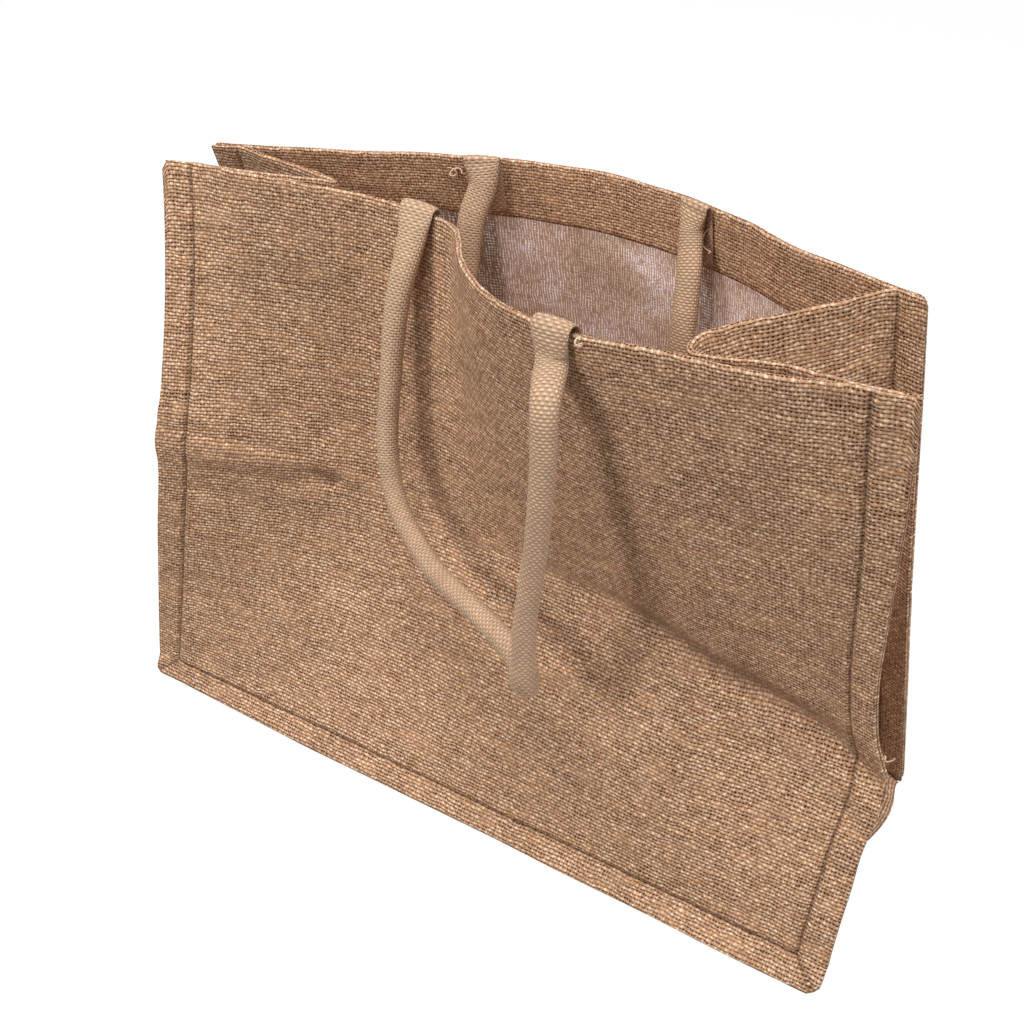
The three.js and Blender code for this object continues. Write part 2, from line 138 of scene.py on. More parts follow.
BACK_TABLES = {
    "slip foldUp foldIn foldY mouthX mouthY splay": (
        (-215, -6, 150, 0, 70, -222, 10, 4), (-200, -6, 150, 0, 76, -209, 16, 5),
        (-150, -6, 150, 0, 100, -165, 43, 8), (-100, -6, 150, 0, 116, -121, 70, 10),
        (-50, -6, 150, 0, 124, -74, 91, 11), (0, -6, 150, 0, 124, -25, 97, 11),
        (50, -6, 150, 0, 116, 23, 86, 11), (100, -6, 150, 0, 98, 67, 64, 9),
        (150, -6, 150, 1, 74, 109, 39, 7), (200, -6, 150, 2, 45, 153, 28, 5),
        (215, -6, 150, 3, 38, 166, 28, 4),
    ),
    "softness": ((-215, 15), (215, 15)),
    "roll": ((-215, 0.3), (215, 0.3)),
    "lower upper": ((-215, 0, 0), (0, 2, -2), (215, 0, 0)),
    "wear line": ((-215, 0, 0), (215, 0, 0)),
    "left right": ((-15, 0, 0), (307, 0, 0)),
}
# Where the back panel's cloth has no film, and its lining is painted dark with bright specks:
# painted shade, with painted light coming through the gaps. Along the panel, where each strip
# starts and ends
BARE_SHADE_LIGHT_STRIPS = (((-150, -147), (-66, -69)), ((63, 66), (78, 75)))

# The centre fold of each gusset, going up: up, x, y, bow
LEFT_FOLDS = (
    (0, -203, 0, 0), (50, -179, 0, 1), (100, -158, 0, 3), (150, -146, 0, 4), (200, -138, 0, 4),
    (250, -133, 1, 4), (307, -130, 2, 4),
)
RIGHT_FOLDS = (
    (0, 199, 0, 0), (50, 175, -3, 1), (100, 150, -8, 3), (150, 130, -15, 5), (200, 115, -25, 7),
    (250, 101, -36, 9), (307, 88, -48, 11),
)

# The hanging part of each handle: x, y, z, flatness
FRONT_ROUTE = (
    (-74, -25, 268, 0.2), (-73, -33, 228, 0), (-69, -41, 184, 0), (-57, -48, 160, 0),
    (-26, -61, 141, 0), (9, -75, 137, 0), (30, -82, 132, 0.1), (41, -86, 126, 0.3),
    (47, -92, 123, 0.4), (49, -99, 127, 0.3), (49, -100, 140, 0.1), (48, -99, 165, 0),
    (50, -98, 205, 0), (50, -97, 245, 0.1), (47, -94, 274, 0.3),
)
BACK_ROUTE = (
    (-92, 72, 276, 0.5), (-91, 65, 238, 0.4), (-89, 61, 190, 0.3), (-76, 58, 152, 0.1),
    (-44, 56, 130, 0), (-8, 54, 128, 0), (24, 53, 146, 0.1), (42, 54, 188, 0.4), (46, 56, 236, 0.5),
    (43, 63, 276, 0.5),
)

# Loose threads of the front and back panel: along, up and inside where one starts, its turns,
# their size, and the way it runs on
LOOPS = (
    (((83, 306.5, -1.8), 1.6, 1.1, (3, -2, -2)), ((212, 108, 4), 1.3, 1.3, (5, 4, -1))),
    (((-84, 299, 5), 1.3, 2.2, (-4, -3, 1)), ((77, 298, 5), 1.2, 1.8, (3, -2, -14))),
)

# Creases and dents laid into the cloth:
# along, up, half length, half width, turned by (degrees), height (a dent is negative)
FRONT_CREASES = (
    (-172, 161, 40, 3.0, -9, -1.4), (-160, 153, 50, 6.0, -3, 1.8), (-160, 143, 46, 3.2, -2, -1.4),
    (-160, 129, 48, 14, -3, -1.8), (-124, 146, 15, 4.0, -12, -3.4), (-115, 146, 5, 5, 0, -3.0),
    (-106, 149, 8, 6, 20, 2.2), (-122, 158, 16, 7, -10, 1.8), (-140, 130, 30, 10, -15, 1.6),
    (-112, 130, 22, 6, 55, -1.4), (-98, 134, 22, 6, -40, 1.4), (-125, 172, 18, 5, 50, -0.9),
    (-60, 200, 60, 13, 82, 0.9), (-20, 230, 70, 12, 84, -0.9), (60, 120, 60, 10, 4, -0.8),
    (150, 122, 40, 7, -6, -0.9), (176, 110, 18, 5, -20, 0.9), (110, 60, 90, 26, -14, 0.9),
    (-60, 60, 110, 30, 8, -0.9), (-170, 60, 60, 16, 75, 0.7), (185, 210, 70, 8, 88, 0.6),
    (170, 285, 16, 6, 60, 0.7),
)
BACK_CREASES = (
    (-120, 170, 70, 12, 12, 1.0), (60, 110, 90, 14, -8, -1.0), (30, 236, 60, 9, 6, 0.8),
    (-20, 226, 40, 6, -4, -0.7), (110, 210, 50, 9, 70, 0.9), (150, 60, 60, 14, 20, 0.8),
)
LEFT_CREASES = ((30, 120, 50, 9, 70, 0.7), (-40, 200, 60, 8, 85, -0.6))
RIGHT_CREASES = (
    (40, 230, 60, 8, 75, 0.7), (-40, 120, 60, 9, 80, -0.6), (60, 270, 14, 6, 40, 0.6),
    (21, 260, 120, 4.5, 90, 3.2), (8, 260, 120, 5, 90, -1.2), (-42, 302, 24, 34, 0, 4.5),
)


def curve_through(keys, values, places, weighted=False):
    """A smooth curve through values given at keys, read at any places along the first axis."""
    keys, values = np.asarray(keys, float), np.asarray(values, float)
    at = np.clip(places, keys[0], keys[-1])
    i = np.clip(np.searchsorted(keys, at, side="right") - 1, 0, len(keys) - 2)
    wide = np.diff(keys)
    shape = (-1,) + (1,) * (values.ndim - 1)
    slopes = np.diff(values, axis=0) / wide.reshape(shape)
    share = (wide[1:] / (wide[1:] + wide[:-1])).reshape(shape) if weighted else 0.5
    inner = slopes[:-1] * share + slopes[1:] * (1 - share)
    ends = np.concatenate((slopes[:1], inner, slopes[-1:]))
    width = wide[i]
    t = (at - keys[i]) / width
    more = i.shape + (1,) * (values.ndim - 1)
    t, width = t.reshape(more), width.reshape(more)
    between = values[i] * (1 - t) ** 2 * (1 + 2 * t) + values[i + 1] * t**2 * (3 - 2 * t)
    return between + width * t * (1 - t) * (ends[i] * (1 - t) - ends[i + 1] * t)


def read(rows, column, places):
    """Reads one column of a table at any places, as a smooth curve through its rows."""
    grid = np.array(rows, float)
    return curve_through(grid[:, 0], grid[:, column], np.asarray(places, float))


def stops(*stretches):
    """Places from stretches (from, to, count), each divided evenly."""
    places = [float(stretches[0][0])]
    for start, end, count in stretches:
        places += [start + (end - start) * k / count for k in range(1, count + 1)]
    return np.array(places)


def unit(vectors):
    return vectors / np.maximum(np.linalg.norm(vectors, axis=-1, keepdims=True), 1e-9)


def smooth(value, low, high):
    """0 at low, 1 at high and an even turn between them, whichever is larger."""
    t = np.clip((value - low) / (high - low), 0, 1)
    return t * t * (3 - 2 * t)


def hump(value, middle, width):
    """1 at middle, falling away evenly to both sides."""
    return np.exp(-(((value - middle) / width) ** 2))


def ripple(a, b, size, seed):
    """Slow waviness of cloth from -1 to 1: a few crossed waves at turned angles."""
    total = np.zeros(np.broadcast(a, b).shape)
    for k in range(4):
        angle, reach = seed * 1.7 + k * 2.4, size * (1 + 0.37 * k)
        run = (a * math.cos(angle) + b * math.sin(angle)) * 2 * math.pi / reach
        total = total + np.sin(run + seed * (k + 1.3))
    return total / 4


def lengths(points, power=1):
    """How far along a line of points each one lies, by its steps raised to a power."""
    steps = np.linalg.norm(np.diff(points, axis=0), axis=1)
    return np.concatenate(([0], np.cumsum(steps**power)))


def part_way(at, steps, line):
    """The row of a line that lies at some place among its steps."""
    return np.array([np.interp(at, steps, column) for column in line.T])


def place(points):
    """From millimetres in the cutting frame to metres in the row frame."""
    return (np.asarray(points, float) + MIDDLE) * MM


def risen(start, x, y, length):
    """The point at x, y that a straight length of cloth reaches above another."""
    rise = np.sqrt(np.maximum(1, length**2 - (x - start[..., 0]) ** 2 - (y - start[..., 1]) ** 2))
    return np.stack([x, y, start[..., 2] + rise], -1)


class Panel:
    """A front or back panel: its cloth at any place along and up."""

    def __init__(self, outward, seed, creases, tables):
        self.outward, self.seed, self.creases = outward, seed, creases
        self.columns = {
            name: (rows, k)
            for names, rows in tables.items() for k, name in enumerate(names.split(), 1)
        }

    def column(self, name, places):
        return read(*self.columns[name], places)

    def middle(self, along, up):
        """Points of the cloth's middle. Below the bottom seam (up < 0) it is the flange."""
        along, up = np.broadcast_arrays(np.asarray(along, float), np.asarray(up, float))
        fold_up, mouth_x = self.column("foldUp", along), self.column("mouthX", along)
        seam_y, rise = np.full_like(along, self.outward * HALF_BASE), np.full_like(along, SEAM_RISE)
        seam = np.stack([along + self.column("slip", along), seam_y, rise], -1)
        fold_x = seam[..., 0] + (mouth_x - seam[..., 0]) * fold_up / SEAM_TO_MOUTH
        fold_x = fold_x + self.column("foldIn", along)
        fold = risen(seam, fold_x, self.column("foldY", along), fold_up)
        mouth = risen(fold, mouth_x, self.column("mouthY", along), SEAM_TO_MOUTH - fold_up)
        lower = (fold - seam) / fold_up[..., None]
        upper = (mouth - fold) / (SEAM_TO_MOUTH - fold_up)[..., None]
        soft, past = self.column("softness", along), up - fold_up
        turned = np.where(past > soft, past, np.maximum(0, past + soft) ** 2 / (4 * soft))
        cloth = seam + lower * np.maximum(up, 0)[..., None] + (upper - lower) * turned[..., None]
        splay, drop = self.column("splay", along), np.full_like(along, -FLANGE_DROP)
        drop = np.stack([np.zeros_like(along), self.outward * splay, drop], -1)
        part = np.maximum(0, -up) / np.hypot(splay, FLANGE_DROP)
        return cloth + drop * part[..., None]

    def normal(self, along, up):
        """The outward direction square to the cloth."""
        across = self.middle(along + 0.8, up) - self.middle(along - 0.8, up)
        rise = self.middle(along, up + 0.8) - self.middle(along, up - 0.8)
        return unit(np.cross(across, rise)) * (-self.outward)

    def square(self, along, up):
        """The same above the seam and below the mouth, and carried on past both."""
        return self.normal(along, np.clip(up, 1, SEAM_TO_MOUTH - 1))

    def relief(self, along, up):
        """Its own dents and ridges, the roll of the cloth at its crease, and its belly."""
        fold_up = self.column("foldUp", along)
        past = up - fold_up
        rolled = self.column("roll", along) * (hump(past, -12, 8.5) - 0.8 * hump(past, 2, 5))
        low, high = np.clip(up / fold_up, 0, 1), np.clip(past / (SEAM_TO_MOUTH - fold_up), 0, 1)
        bow = 4 * self.column("lower", along) * low * (1 - low)
        bow = bow + 4 * self.column("upper", along) * high * (1 - high)
        waves = 0.55 * ripple(along, up, 74, self.seed) * smooth(up, *SEAM_EASE)
        return laid_relief(self.creases, along, up) + rolled + bow + waves

    def edge_shift(self, along, up):
        """How far the cloth is drawn sideways near its side edges."""
        side = np.where(along < 0, -self.column("left", up), self.column("right", up))
        return side * smooth(np.abs(along), 175 + 20 * smooth(up, 190, 260), HALF)

    def dressed(self, along, up, inside):
        """Points so far inside the cloth, as its dents, roll and drawn edges leave it."""
        along, up = np.broadcast_arrays(np.asarray(along, float), np.asarray(up, float))
        lift = self.relief(along, up) - inside
        points = self.middle(along, up) + self.square(along, up) * lift[..., None]
        points[..., 0] += self.edge_shift(along, up)
        return points

    def outer_line(self, along, up, lift):
        """Points and outward directions on the outer face."""
        return self.dressed(along, up, -(PANEL_FACE + lift)), self.square(along, up)

    def edge_line(self, along, up, inside):
        """Points on the outer edge, with directions that lead out of it."""
        points = self.dressed(along, up, inside)
        inner = self.dressed(along * 0.985, up - 5.0 * (up > 300), inside)
        return points, unit(points - inner)


def laid_relief(creases, along, up):
    """Troughs and ridges laid into a cloth, as heights outwards."""
    height = np.zeros(np.broadcast(along, up).shape)
    for at_along, at_up, long, wide, turned, high in creases:
        turn = math.radians(turned)
        a, b = along - at_along, up - at_up
        run = (a * math.cos(turn) + b * math.sin(turn)) / long
        off = (-a * math.sin(turn) + b * math.cos(turn)) / wide
        height = height + high * np.exp(-(run**2) * 1.4 - off**2)
    return height


FRONT = Panel(-1, 3.0, FRONT_CREASES, FRONT_TABLES)
BACK = Panel(1, 5.0, BACK_CREASES, BACK_TABLES)


# --- Cloth ---
def seam_distance(a, up, seam, reach):
    """Distance from a seam that runs up one side (at a = seam), along the bottom (up = 0), and
    out to the corner between them as a mitre."""
    past, below = a - seam, -up
    round_corner = np.hypot(past, up)
    side = np.where(up > 0, np.abs(past), round_corner)
    bottom = np.where(past < 0, np.abs(up), round_corner)
    mitre = np.abs(past * reach - below * SIDE_FLANGE) / np.hypot(SIDE_FLANGE, reach)
    mitre = np.where((past > 0) & (below > 0), mitre, round_corner)
    return np.minimum(np.minimum(side, bottom), mitre)


def seam_relief(distance, run):
    """The outer face at a pinched seam: the stitches pull a groove, and the cloth puckers."""
    wave = run * 2 * math.pi
    pucker = 0.34 * hump(distance, 0, 7) * (np.sin(wave / 13.1) + 0.7 * np.sin(wave / 7.7 + 1.3))
    ridge = 0.5 * hump(distance, 3.6, 2.3) - 1.25 * hump(distance, 0, 1.0)
    return ridge + pucker * smooth(distance, 0.4, 2.4)


def grid_mesh(points, places):
    """A grid of points in millimetres, with the flat place of each as its own coordinates."""
    rows, columns = points.shape[:2]
    mesh = bmesh.new()
    bmesh.ops.create_grid(mesh, x_segments=columns - 1, y_segments=rows - 1, size=0.5)
    layer = mesh.loops.layers.uv.new("Cloth")
    mesh.verts.ensure_lookup_table()
    for vertex, point in zip(mesh.verts, place(points).reshape(-1, 3)):
        vertex.co = point
    flat = np.stack(np.broadcast_arrays(*places), -1).reshape(-1, 2)
    for face in mesh.faces:
        face.smooth = True
        for loop in face.loops:
            loop[layer].uv = flat[loop.vert.index]
    return mesh


def finish_object(name, mesh, materials):
    data = bpy.data.meshes.new(name)
    mesh.to_mesh(data)
    mesh.free()
    for material in materials:
        data.materials.append(material)
    made = bpy.data.objects.new(name, data)
    bpy.context.scene.collection.objects.link(made)
    return made


def cloth_object(name, points, places, thickness, weights, marks, materials, turned, keep=None):
    """A sheet of cloth with its outer face on a grid of points, and a film on its inner face.
    marks are the values that the finishes read, such as the painted shade of a stitched groove at
    each point."""
    mesh = grid_mesh(points, places)
    groups = mesh.verts.layers.deform.new()
    for vertex, weight in zip(mesh.verts, weights.reshape(-1)):
        vertex[groups][0] = float(weight)
    for mark, values in marks.items():
        marked = mesh.verts.layers.float.new(mark)
        for vertex, value in zip(mesh.verts, values.reshape(-1)):
            vertex[marked] = float(value)
    if keep is not None:
        flags = keep.reshape(-1)
        gone = [face for face in mesh.faces if not all(flags[v.index] for v in face.verts)]
        bmesh.ops.delete(mesh, geom=gone, context="FACES")
    if turned:
        bmesh.ops.reverse_faces(mesh, faces=mesh.faces[:])
    made = finish_object(name, mesh, materials)
    made.vertex_groups.new(name="Cloth thickness")
    settings = {
        "thickness": thickness * MM, "offset": -1, "vertex_group": "Cloth thickness",
        "thickness_vertex_group": 0, "use_quality_normals": True, "material_offset": 1,
        "material_offset_rim": 0,
    }
    solidify = made.modifiers.new("Cloth", "SOLIDIFY")
    for key, value in settings.items():
        setattr(solidify, key, value)
    return made


def wrap_hem(middle, normal, face, depth, squeeze):
    """Runs a cloth's outer face over the mouth and down inside as the hem. middle and normal are
    functions of a row's height. squeeze (0 to 1 per column) flattens the hem in the flanges."""
    radius = (face + HEM_LAYER / 2) * (1 - 0.48 * squeeze)
    rows, heights = [], []
    top = SEAM_TO_MOUTH - radius
    out, rise = normal(top), unit(middle(top + 0.5) - middle(top - 0.5))
    centre = middle(top) + out * (face - radius)[:, None]
    for angle in np.radians(HEM_TURN):
        bead = radius * (1 + 0.22 * math.sin(angle) ** 2 * (1 - squeeze))
        rows.append(centre + (out * math.cos(angle) + rise * math.sin(angle)) * bead[:, None])
        heights.append(top + radius * angle)
    for part in np.linspace(0, 1, HEM_ROWS):
        up = top - part * (depth - radius)
        rows.append(middle(up) + normal(up) * (face - 2 * radius)[:, None])
        heights.append(top + radius * math.pi + part * depth)
    return np.stack(rows), np.stack(heights)


def sewn_cloth(outer, ups, across, seam, reach, in_flange, hem, pinch, groove):
    """A cloth's outer face with its hem: its points, their flat places, how thick it is there as
    a share of its full thickness, the painted shade of a stitched groove at each one, and how far
    into a flange each one lies."""
    points, run = (np.concatenate(pair) for pair in zip((np.stack(outer), ups), hem))
    across = np.broadcast_to(across, run.shape)
    distance = seam_distance(np.abs(across), np.minimum(run, SEAM_TO_MOUTH), seam, reach)
    weights = 1 - pinch * hump(distance, 0, 1.6)
    weights = weights * (1 - 0.52 * smooth(run, *HEM_EDGE) * in_flange)
    past = np.maximum(np.abs(across) - seam, -run)
    # Painted shade along the stitched seams, as wide as groove says
    groove_shade = hump(distance, 0, groove) * (run < SEAM_TO_MOUTH - 1)
    return points, (across, run), weights, {"Groove shade": groove_shade, "Flange": smooth(past, 0, 1.5)}


def panel_object(name, panel, sizes, materials):
    edges = (-HALF, -203, -197, 197, 203, HALF)
    columns = stops(*zip(edges, edges[1:], (6, 8, 158, 8, 6)))
    wide, reach = np.abs(columns), np.hypot(panel.column("splay", columns), FLANGE_DROP)
    flange = stops((1, 0.2, 6), (0.2, 0, 3))[:-1]
    heights = stops((0, 3, 4), (3, 76, 26), (76, 190, 46), (190, 272, 27), (272, 304.6, 14))
    ups = [-part * reach for part in flange] + [np.full_like(columns, up) for up in heights]
    past_corner = np.clip(wide - (HALF - MOUTH_CORNER), 0, MOUTH_CORNER)
    mouth = 0.55 * ripple(columns, 0 * columns, 38, panel.seed + 1)
    mouth = mouth - (MOUTH_CORNER - np.sqrt(MOUTH_CORNER**2 - past_corner**2))

    def middle(up, columns=columns):
        up = np.broadcast_to(up, columns.shape)
        points = panel.middle(columns, up + mouth * smooth(up, *MOUTH_EASE))
        points = points + panel.square(columns, up) * panel.relief(columns, up)[:, None]
        points[:, 0] += panel.edge_shift(columns, up)
        return points

    def normal(up):
        return panel.square(columns, np.broadcast_to(up, columns.shape))

    bend = np.where(columns < 0, *BENDS[panel is BACK])
    outer = []
    for up in ups:
        distance = seam_distance(wide, up, SIDE_SEAM, reach)
        run = np.where(np.abs(wide - SIDE_SEAM) < np.abs(up), up, columns)
        face = PANEL_FACE + seam_relief(distance, run)
        a, b = wide - (HALF - bend), -up - (reach - bend)
        past = np.where((a > 0) & (b > 0), np.maximum(np.hypot(a, b) / bend, 1), 1)
        rounded = np.sign(columns) * np.where(past > 1, HALF - bend + a / past, wide)
        low = np.where(past > 1, -(reach - bend + b / past), up)
        outer.append(middle(low, rounded) + panel.normal(rounded, low) * face[:, None])
    in_flange = smooth(wide, 196.5, 202)
    hem = wrap_hem(middle, normal, PANEL_FACE, sizes.hem_depth / MM, in_flange)
    points, places, weights, marks = sewn_cloth(
        outer, np.stack(ups), columns, SIDE_SEAM, reach, in_flange, hem, 0.6, 0.75)
    across, run = places
    # Along a line above the crease the weave is worn smooth, and the cloth is painted darker there
    # as the shade of the crease
    off = run - panel.column("foldUp", across) - panel.column("line", across)
    wear_and_shade = hump(off, 0, 1.8 + 2.9 * smooth(across, -60, 100)) * panel.column("wear", across)
    # Strips with no film, which the lining paints dark with bright specks: painted shade and
    # painted light
    bare_shade_light = sum(smooth(across, *rise) * smooth(across, *fall) for rise, fall in BARE_SHADE_LIGHT_STRIPS)
    marks |= {"Wear and shade": wear_and_shade, "Bare shade and light": bare_shade_light * (panel is BACK)}
    thickness, turned = sizes.cloth / MM, panel.outward > 0
    return cloth_object(name, points, places, thickness, weights, marks, materials, turned)


class Gusset:
    """A side gusset: the middle of its cloth at any place across (from the front flange's edge
    at -93 to the back one's at 93, with the fold at 0) and up."""

    ACROSS = (
        -93, -85.5, -78, -60.25, -42.5, -24.75, -7, -2.3, 2.3, 7, 15.6, 36.8, 57.4, 78, 85.5, 93,
    )

    def __init__(self, side, folds, creases, seed):
        self.side, self.creases, self.seed = side, creases, seed
        self.steps = np.concatenate(([GUSSET_FOOT], np.arange(2.0, 312, 2.0)))
        point, last, line = np.array([folds[0][1], folds[0][2], SEAM_RISE], float), 0.0, []
        for up in self.steps:
            x, y = (float(read(folds, column, up)) for column in (1, 2))
            point, last = risen(point, x, y, up - last), up
            line.append(point)
        self.lines = self.controls(np.array(line), read(folds, 3, self.steps))

    def controls(self, fold, bow):
        """The line of the gusset at every height, as the source gives it."""
        (front, *front_flange), (back, *back_flange) = (
            [panel.dressed(self.side * (SIDE_SEAM + out), self.steps, BEHIND_PANEL)
             for out in (0.6, SIDE_FLANGE / 2, SIDE_FLANGE)] for panel in (FRONT, BACK)
        )
        bend = fold + unit(front - fold) * FOLD_SOFTNESS
        bowed = back + (fold - back) * 0.8
        bowed[:, 0] -= self.side * bow
        past = fold + (bowed - fold) * 0.45
        points = front_flange[::-1] + [front + (bend - front) * t for t in (0, 0.25, 0.5, 0.75)]
        for t in (0, 1 / 3, 2 / 3, 1):
            points.append(bend * (1 - t) ** 2 + fold * 2 * t * (1 - t) + past * t**2)
        points += [back + (bowed - back) * t for t in (1, 0.66, 0.33, 0)] + back_flange
        return np.stack(points, 1)

    def line(self, across, up):
        k = int(np.clip(np.searchsorted(self.steps, up, side="right") - 1, 0, len(self.steps) - 2))
        part = (up - self.steps[k]) / (self.steps[k + 1] - self.steps[k])
        points = self.lines[k] + (self.lines[k + 1] - self.lines[k]) * part
        return curve_through(self.ACROSS, points, across, True)

    def middle(self, across, up):
        """Below its bottom seam the cloth runs out sideways, and its two flanges go on down."""
        if up >= GUSSET_FOOT:
            return self.line(across, up)
        low = self.line(across, GUSSET_FOOT)
        edge = low * (1, 1.05, 0) + (0, 0, SEAM_RISE - FLANGE_DROP)
        edge[:, 0] += self.side * (SIDE_FLANGE - 1) * side_reach(self.side * 1.0, low[:, 1])
        out = low + (edge - low) * max(0.0, -up) / GUSSET_REACH
        along = self.side * (SIDE_SEAM + np.maximum(np.abs(across) - HALF_BASE, 0))
        strip, start = (
            np.where((across < 0)[:, None], *(
                panel.dressed(along, level, BEHIND_PANEL) for panel in (FRONT, BACK)))
            for level in (up * 0.62, GUSSET_FOOT)
        )
        return np.where((np.abs(across) > HALF_BASE)[:, None], low + strip - start, out)


def side_reach(side, y):
    """How far of its length a bottom flange stands out sideways: on the right it is tucked in
    towards the front."""
    return 1 - 0.8 * (side > 0) * smooth(-y, -50, 4)


def gusset_object(name, gusset, sizes, materials):
    edges = (-93, -80, -76, -10, 10, 76, 80, 93)
    across = stops(*zip(edges, edges[1:], (5, 5, 22, 12, 22, 5, 5)))
    wide = np.abs(across)
    heights = stops((-GUSSET_REACH, -2, 6), (-2, 3, 4), (3, 272, 92), (272, 304.8, 14))
    mouth = 0.5 * ripple(across, 0 * across, 31, gusset.seed + 1)

    def slopes(up):
        low = min(max(up, 2.5), SEAM_TO_MOUTH - 1)
        rise = (gusset.middle(across, low + 1) - gusset.middle(across, low - 1)) / 2
        wide = np.gradient(gusset.middle(across, low), axis=0)
        return rise, unit(np.cross(wide, rise)) * gusset.side

    def square(up):
        return slopes(float(np.mean(up)))[1]

    def middle(up):
        level = float(np.mean(up))
        rise, out = slopes(level)
        lift = laid_relief(gusset.creases, across, level)
        lift = lift + 0.4 * ripple(across, level, 60, gusset.seed) * smooth(level, *SEAM_EASE)
        dents = lift * smooth(HALF_BASE - wide, 0, 12)
        climb = np.broadcast_to(up, across.shape) - level + mouth * smooth(level, *MOUTH_EASE)
        return gusset.middle(across, level) + out * dents[:, None] + rise * climb[:, None]

    outer = []
    for up in heights:
        distance = seam_distance(wide, 0 * across + up, HALF_BASE, GUSSET_REACH)
        face = GUSSET_FACE + seam_relief(distance, up + across) * 0.8
        outer.append(middle(up) + square(up) * face[:, None])
    in_flange = smooth(wide, 75.5, 79)
    hem = wrap_hem(middle, square, GUSSET_FACE, sizes.hem_depth / MM, in_flange)
    ups = np.repeat(heights[:, None], len(across), 1)
    points, places, weights, marks = sewn_cloth(
        outer, ups, across, HALF_BASE, GUSSET_REACH, in_flange, hem, 0.55, 0.62)
    keep = (places[1] > -0.5) | (np.abs(np.abs(places[0]) - HALF_BASE) > 0.5)
    thickness, turned = sizes.cloth / MM * INNER_CLOTH, gusset.side < 0
    return cloth_object(name, points, places, thickness, weights, marks, materials, turned, keep)


def base_middle(along, y):
    """The base lies flat in its middle, rises to the seams and runs out under the flanges."""
    a, b = np.clip(along, -SIDE_SEAM, SIDE_SEAM), np.clip(y, -HALF_BASE, HALF_BASE)
    slips = [panel.column("slip", a) for panel in (FRONT, BACK)]
    slip = slips[0] + (slips[1] - slips[0]) * (b + HALF_BASE) / (2 * HALF_BASE)
    down = smooth(np.minimum(SIDE_SEAM - np.abs(a), HALF_BASE - np.abs(b)), 0, BASE_EASE)
    splay = np.where(b < 0, FRONT.column("splay", a), BACK.column("splay", a))
    tuck = UNDER_PANEL * FLANGE_DROP / np.hypot(splay, FLANGE_DROP)
    z = (SEAM_RISE - 1.9) * (1 - down) + GUSSET_FACE * down
    past_x, past_y = (along - a) / END_FLANGE, (y - b) / LONG_FLANGE
    reach = side_reach(np.sign(along), b)
    tucked = np.sign(past_x) * 2.8 * (1 - reach) * smooth(np.abs(past_x), 0, 0.3)
    x = a * (1 - 1.6 / SIDE_SEAM) + slip + past_x * END_FLANGE * reach - tucked
    deep = b * (1 - tuck / HALF_BASE) + past_y * splay * 0.96 - b * 0.04 * np.abs(past_x)
    side_z = z + (1.1 - z) * np.abs(past_x)
    end_z = z - np.abs(past_y) * (FLANGE_DROP * 0.96 - 0.1)
    return np.stack([x, deep, np.where(np.abs(past_x) > np.abs(past_y), side_z, end_z)], -1)


def base_object(name, sizes, materials):
    lines = []
    for seam, flange, count in ((SIDE_SEAM, END_FLANGE, 96), (HALF_BASE, LONG_FLANGE, 28)):
        ease = seam - BASE_EASE
        edges = (-seam - flange, -seam, -ease, ease, seam, seam + flange)
        lines.append(stops(*zip(edges, edges[1:], (4, 9, count, 9, 4))))
    wide, back = np.meshgrid(*lines)
    points = base_middle(wide, back)
    ground = smooth(SIDE_SEAM - np.abs(wide), 0, 40) * smooth(HALF_BASE - np.abs(back), 0, 30)
    points[..., 2] += (0.9 + 0.9 * ripple(wide, back, 90, 4.0)) * ground
    points[..., 2] = np.maximum(points[..., 2] - GUSSET_FACE, 0.0)
    past_x, past_y = np.abs(wide) - SIDE_SEAM, np.abs(back) - HALF_BASE
    marks = {"Groove shade": 0 * wide, "Flange": smooth(np.maximum(past_x, past_y), 0, 1.5)}
    thickness, keep = sizes.cloth / MM * INNER_CLOTH, ~((past_x > 0.1) & (past_y > 0.1))
    weights, places = np.ones(wide.shape), (wide, back)
    return cloth_object(name, points, places, thickness, weights, marks, materials, True, keep)


# --- Handles ---
def handle_end(panel, along, passes_over):
    """Stations of one sewn end: points, how flat the webbing is, and the way it lies across."""
    sewn = PANEL_FACE + HEM_LAYER + 0.4 + STRAP_HALF_THICKNESS + 0.35
    second = sewn + 2 * STRAP_HALF_THICKNESS + 0.4
    outer = -(PANEL_FACE + 0.4 + STRAP_HALF_THICKNESS)
    rows = ((-SEWN_DEPTH, sewn, 1), (-16, sewn, 1), (-4, sewn + 0.2, 1))
    if passes_over:
        rows += ((0, sewn + 0.3, 1), (2.7, 2.5, 1), (3.2, 0.5, 1), (2, -2.2, 1),
                 (-2, outer - 1.4, 0.95), (-12, outer - 3.4, 0.6))
    else:
        rows += ((0, sewn + 0.5, 1), (2.4, sewn + 1.3, 1), (2.4, second + 0.5, 1),
                 (0, second + 1.3, 1), (-10, second + 2.8, 0.5))
    across = unit(panel.middle(along + 8, SEAM_TO_MOUTH) - panel.middle(along - 8, SEAM_TO_MOUTH))
    points = []
    for past, inside, _ in rows:
        up = SEAM_TO_MOUTH + past
        points.append(panel.middle(along, up) - panel.square(along, up) * inside)
    return points, [row[2] for row in rows], [across] * len(rows)


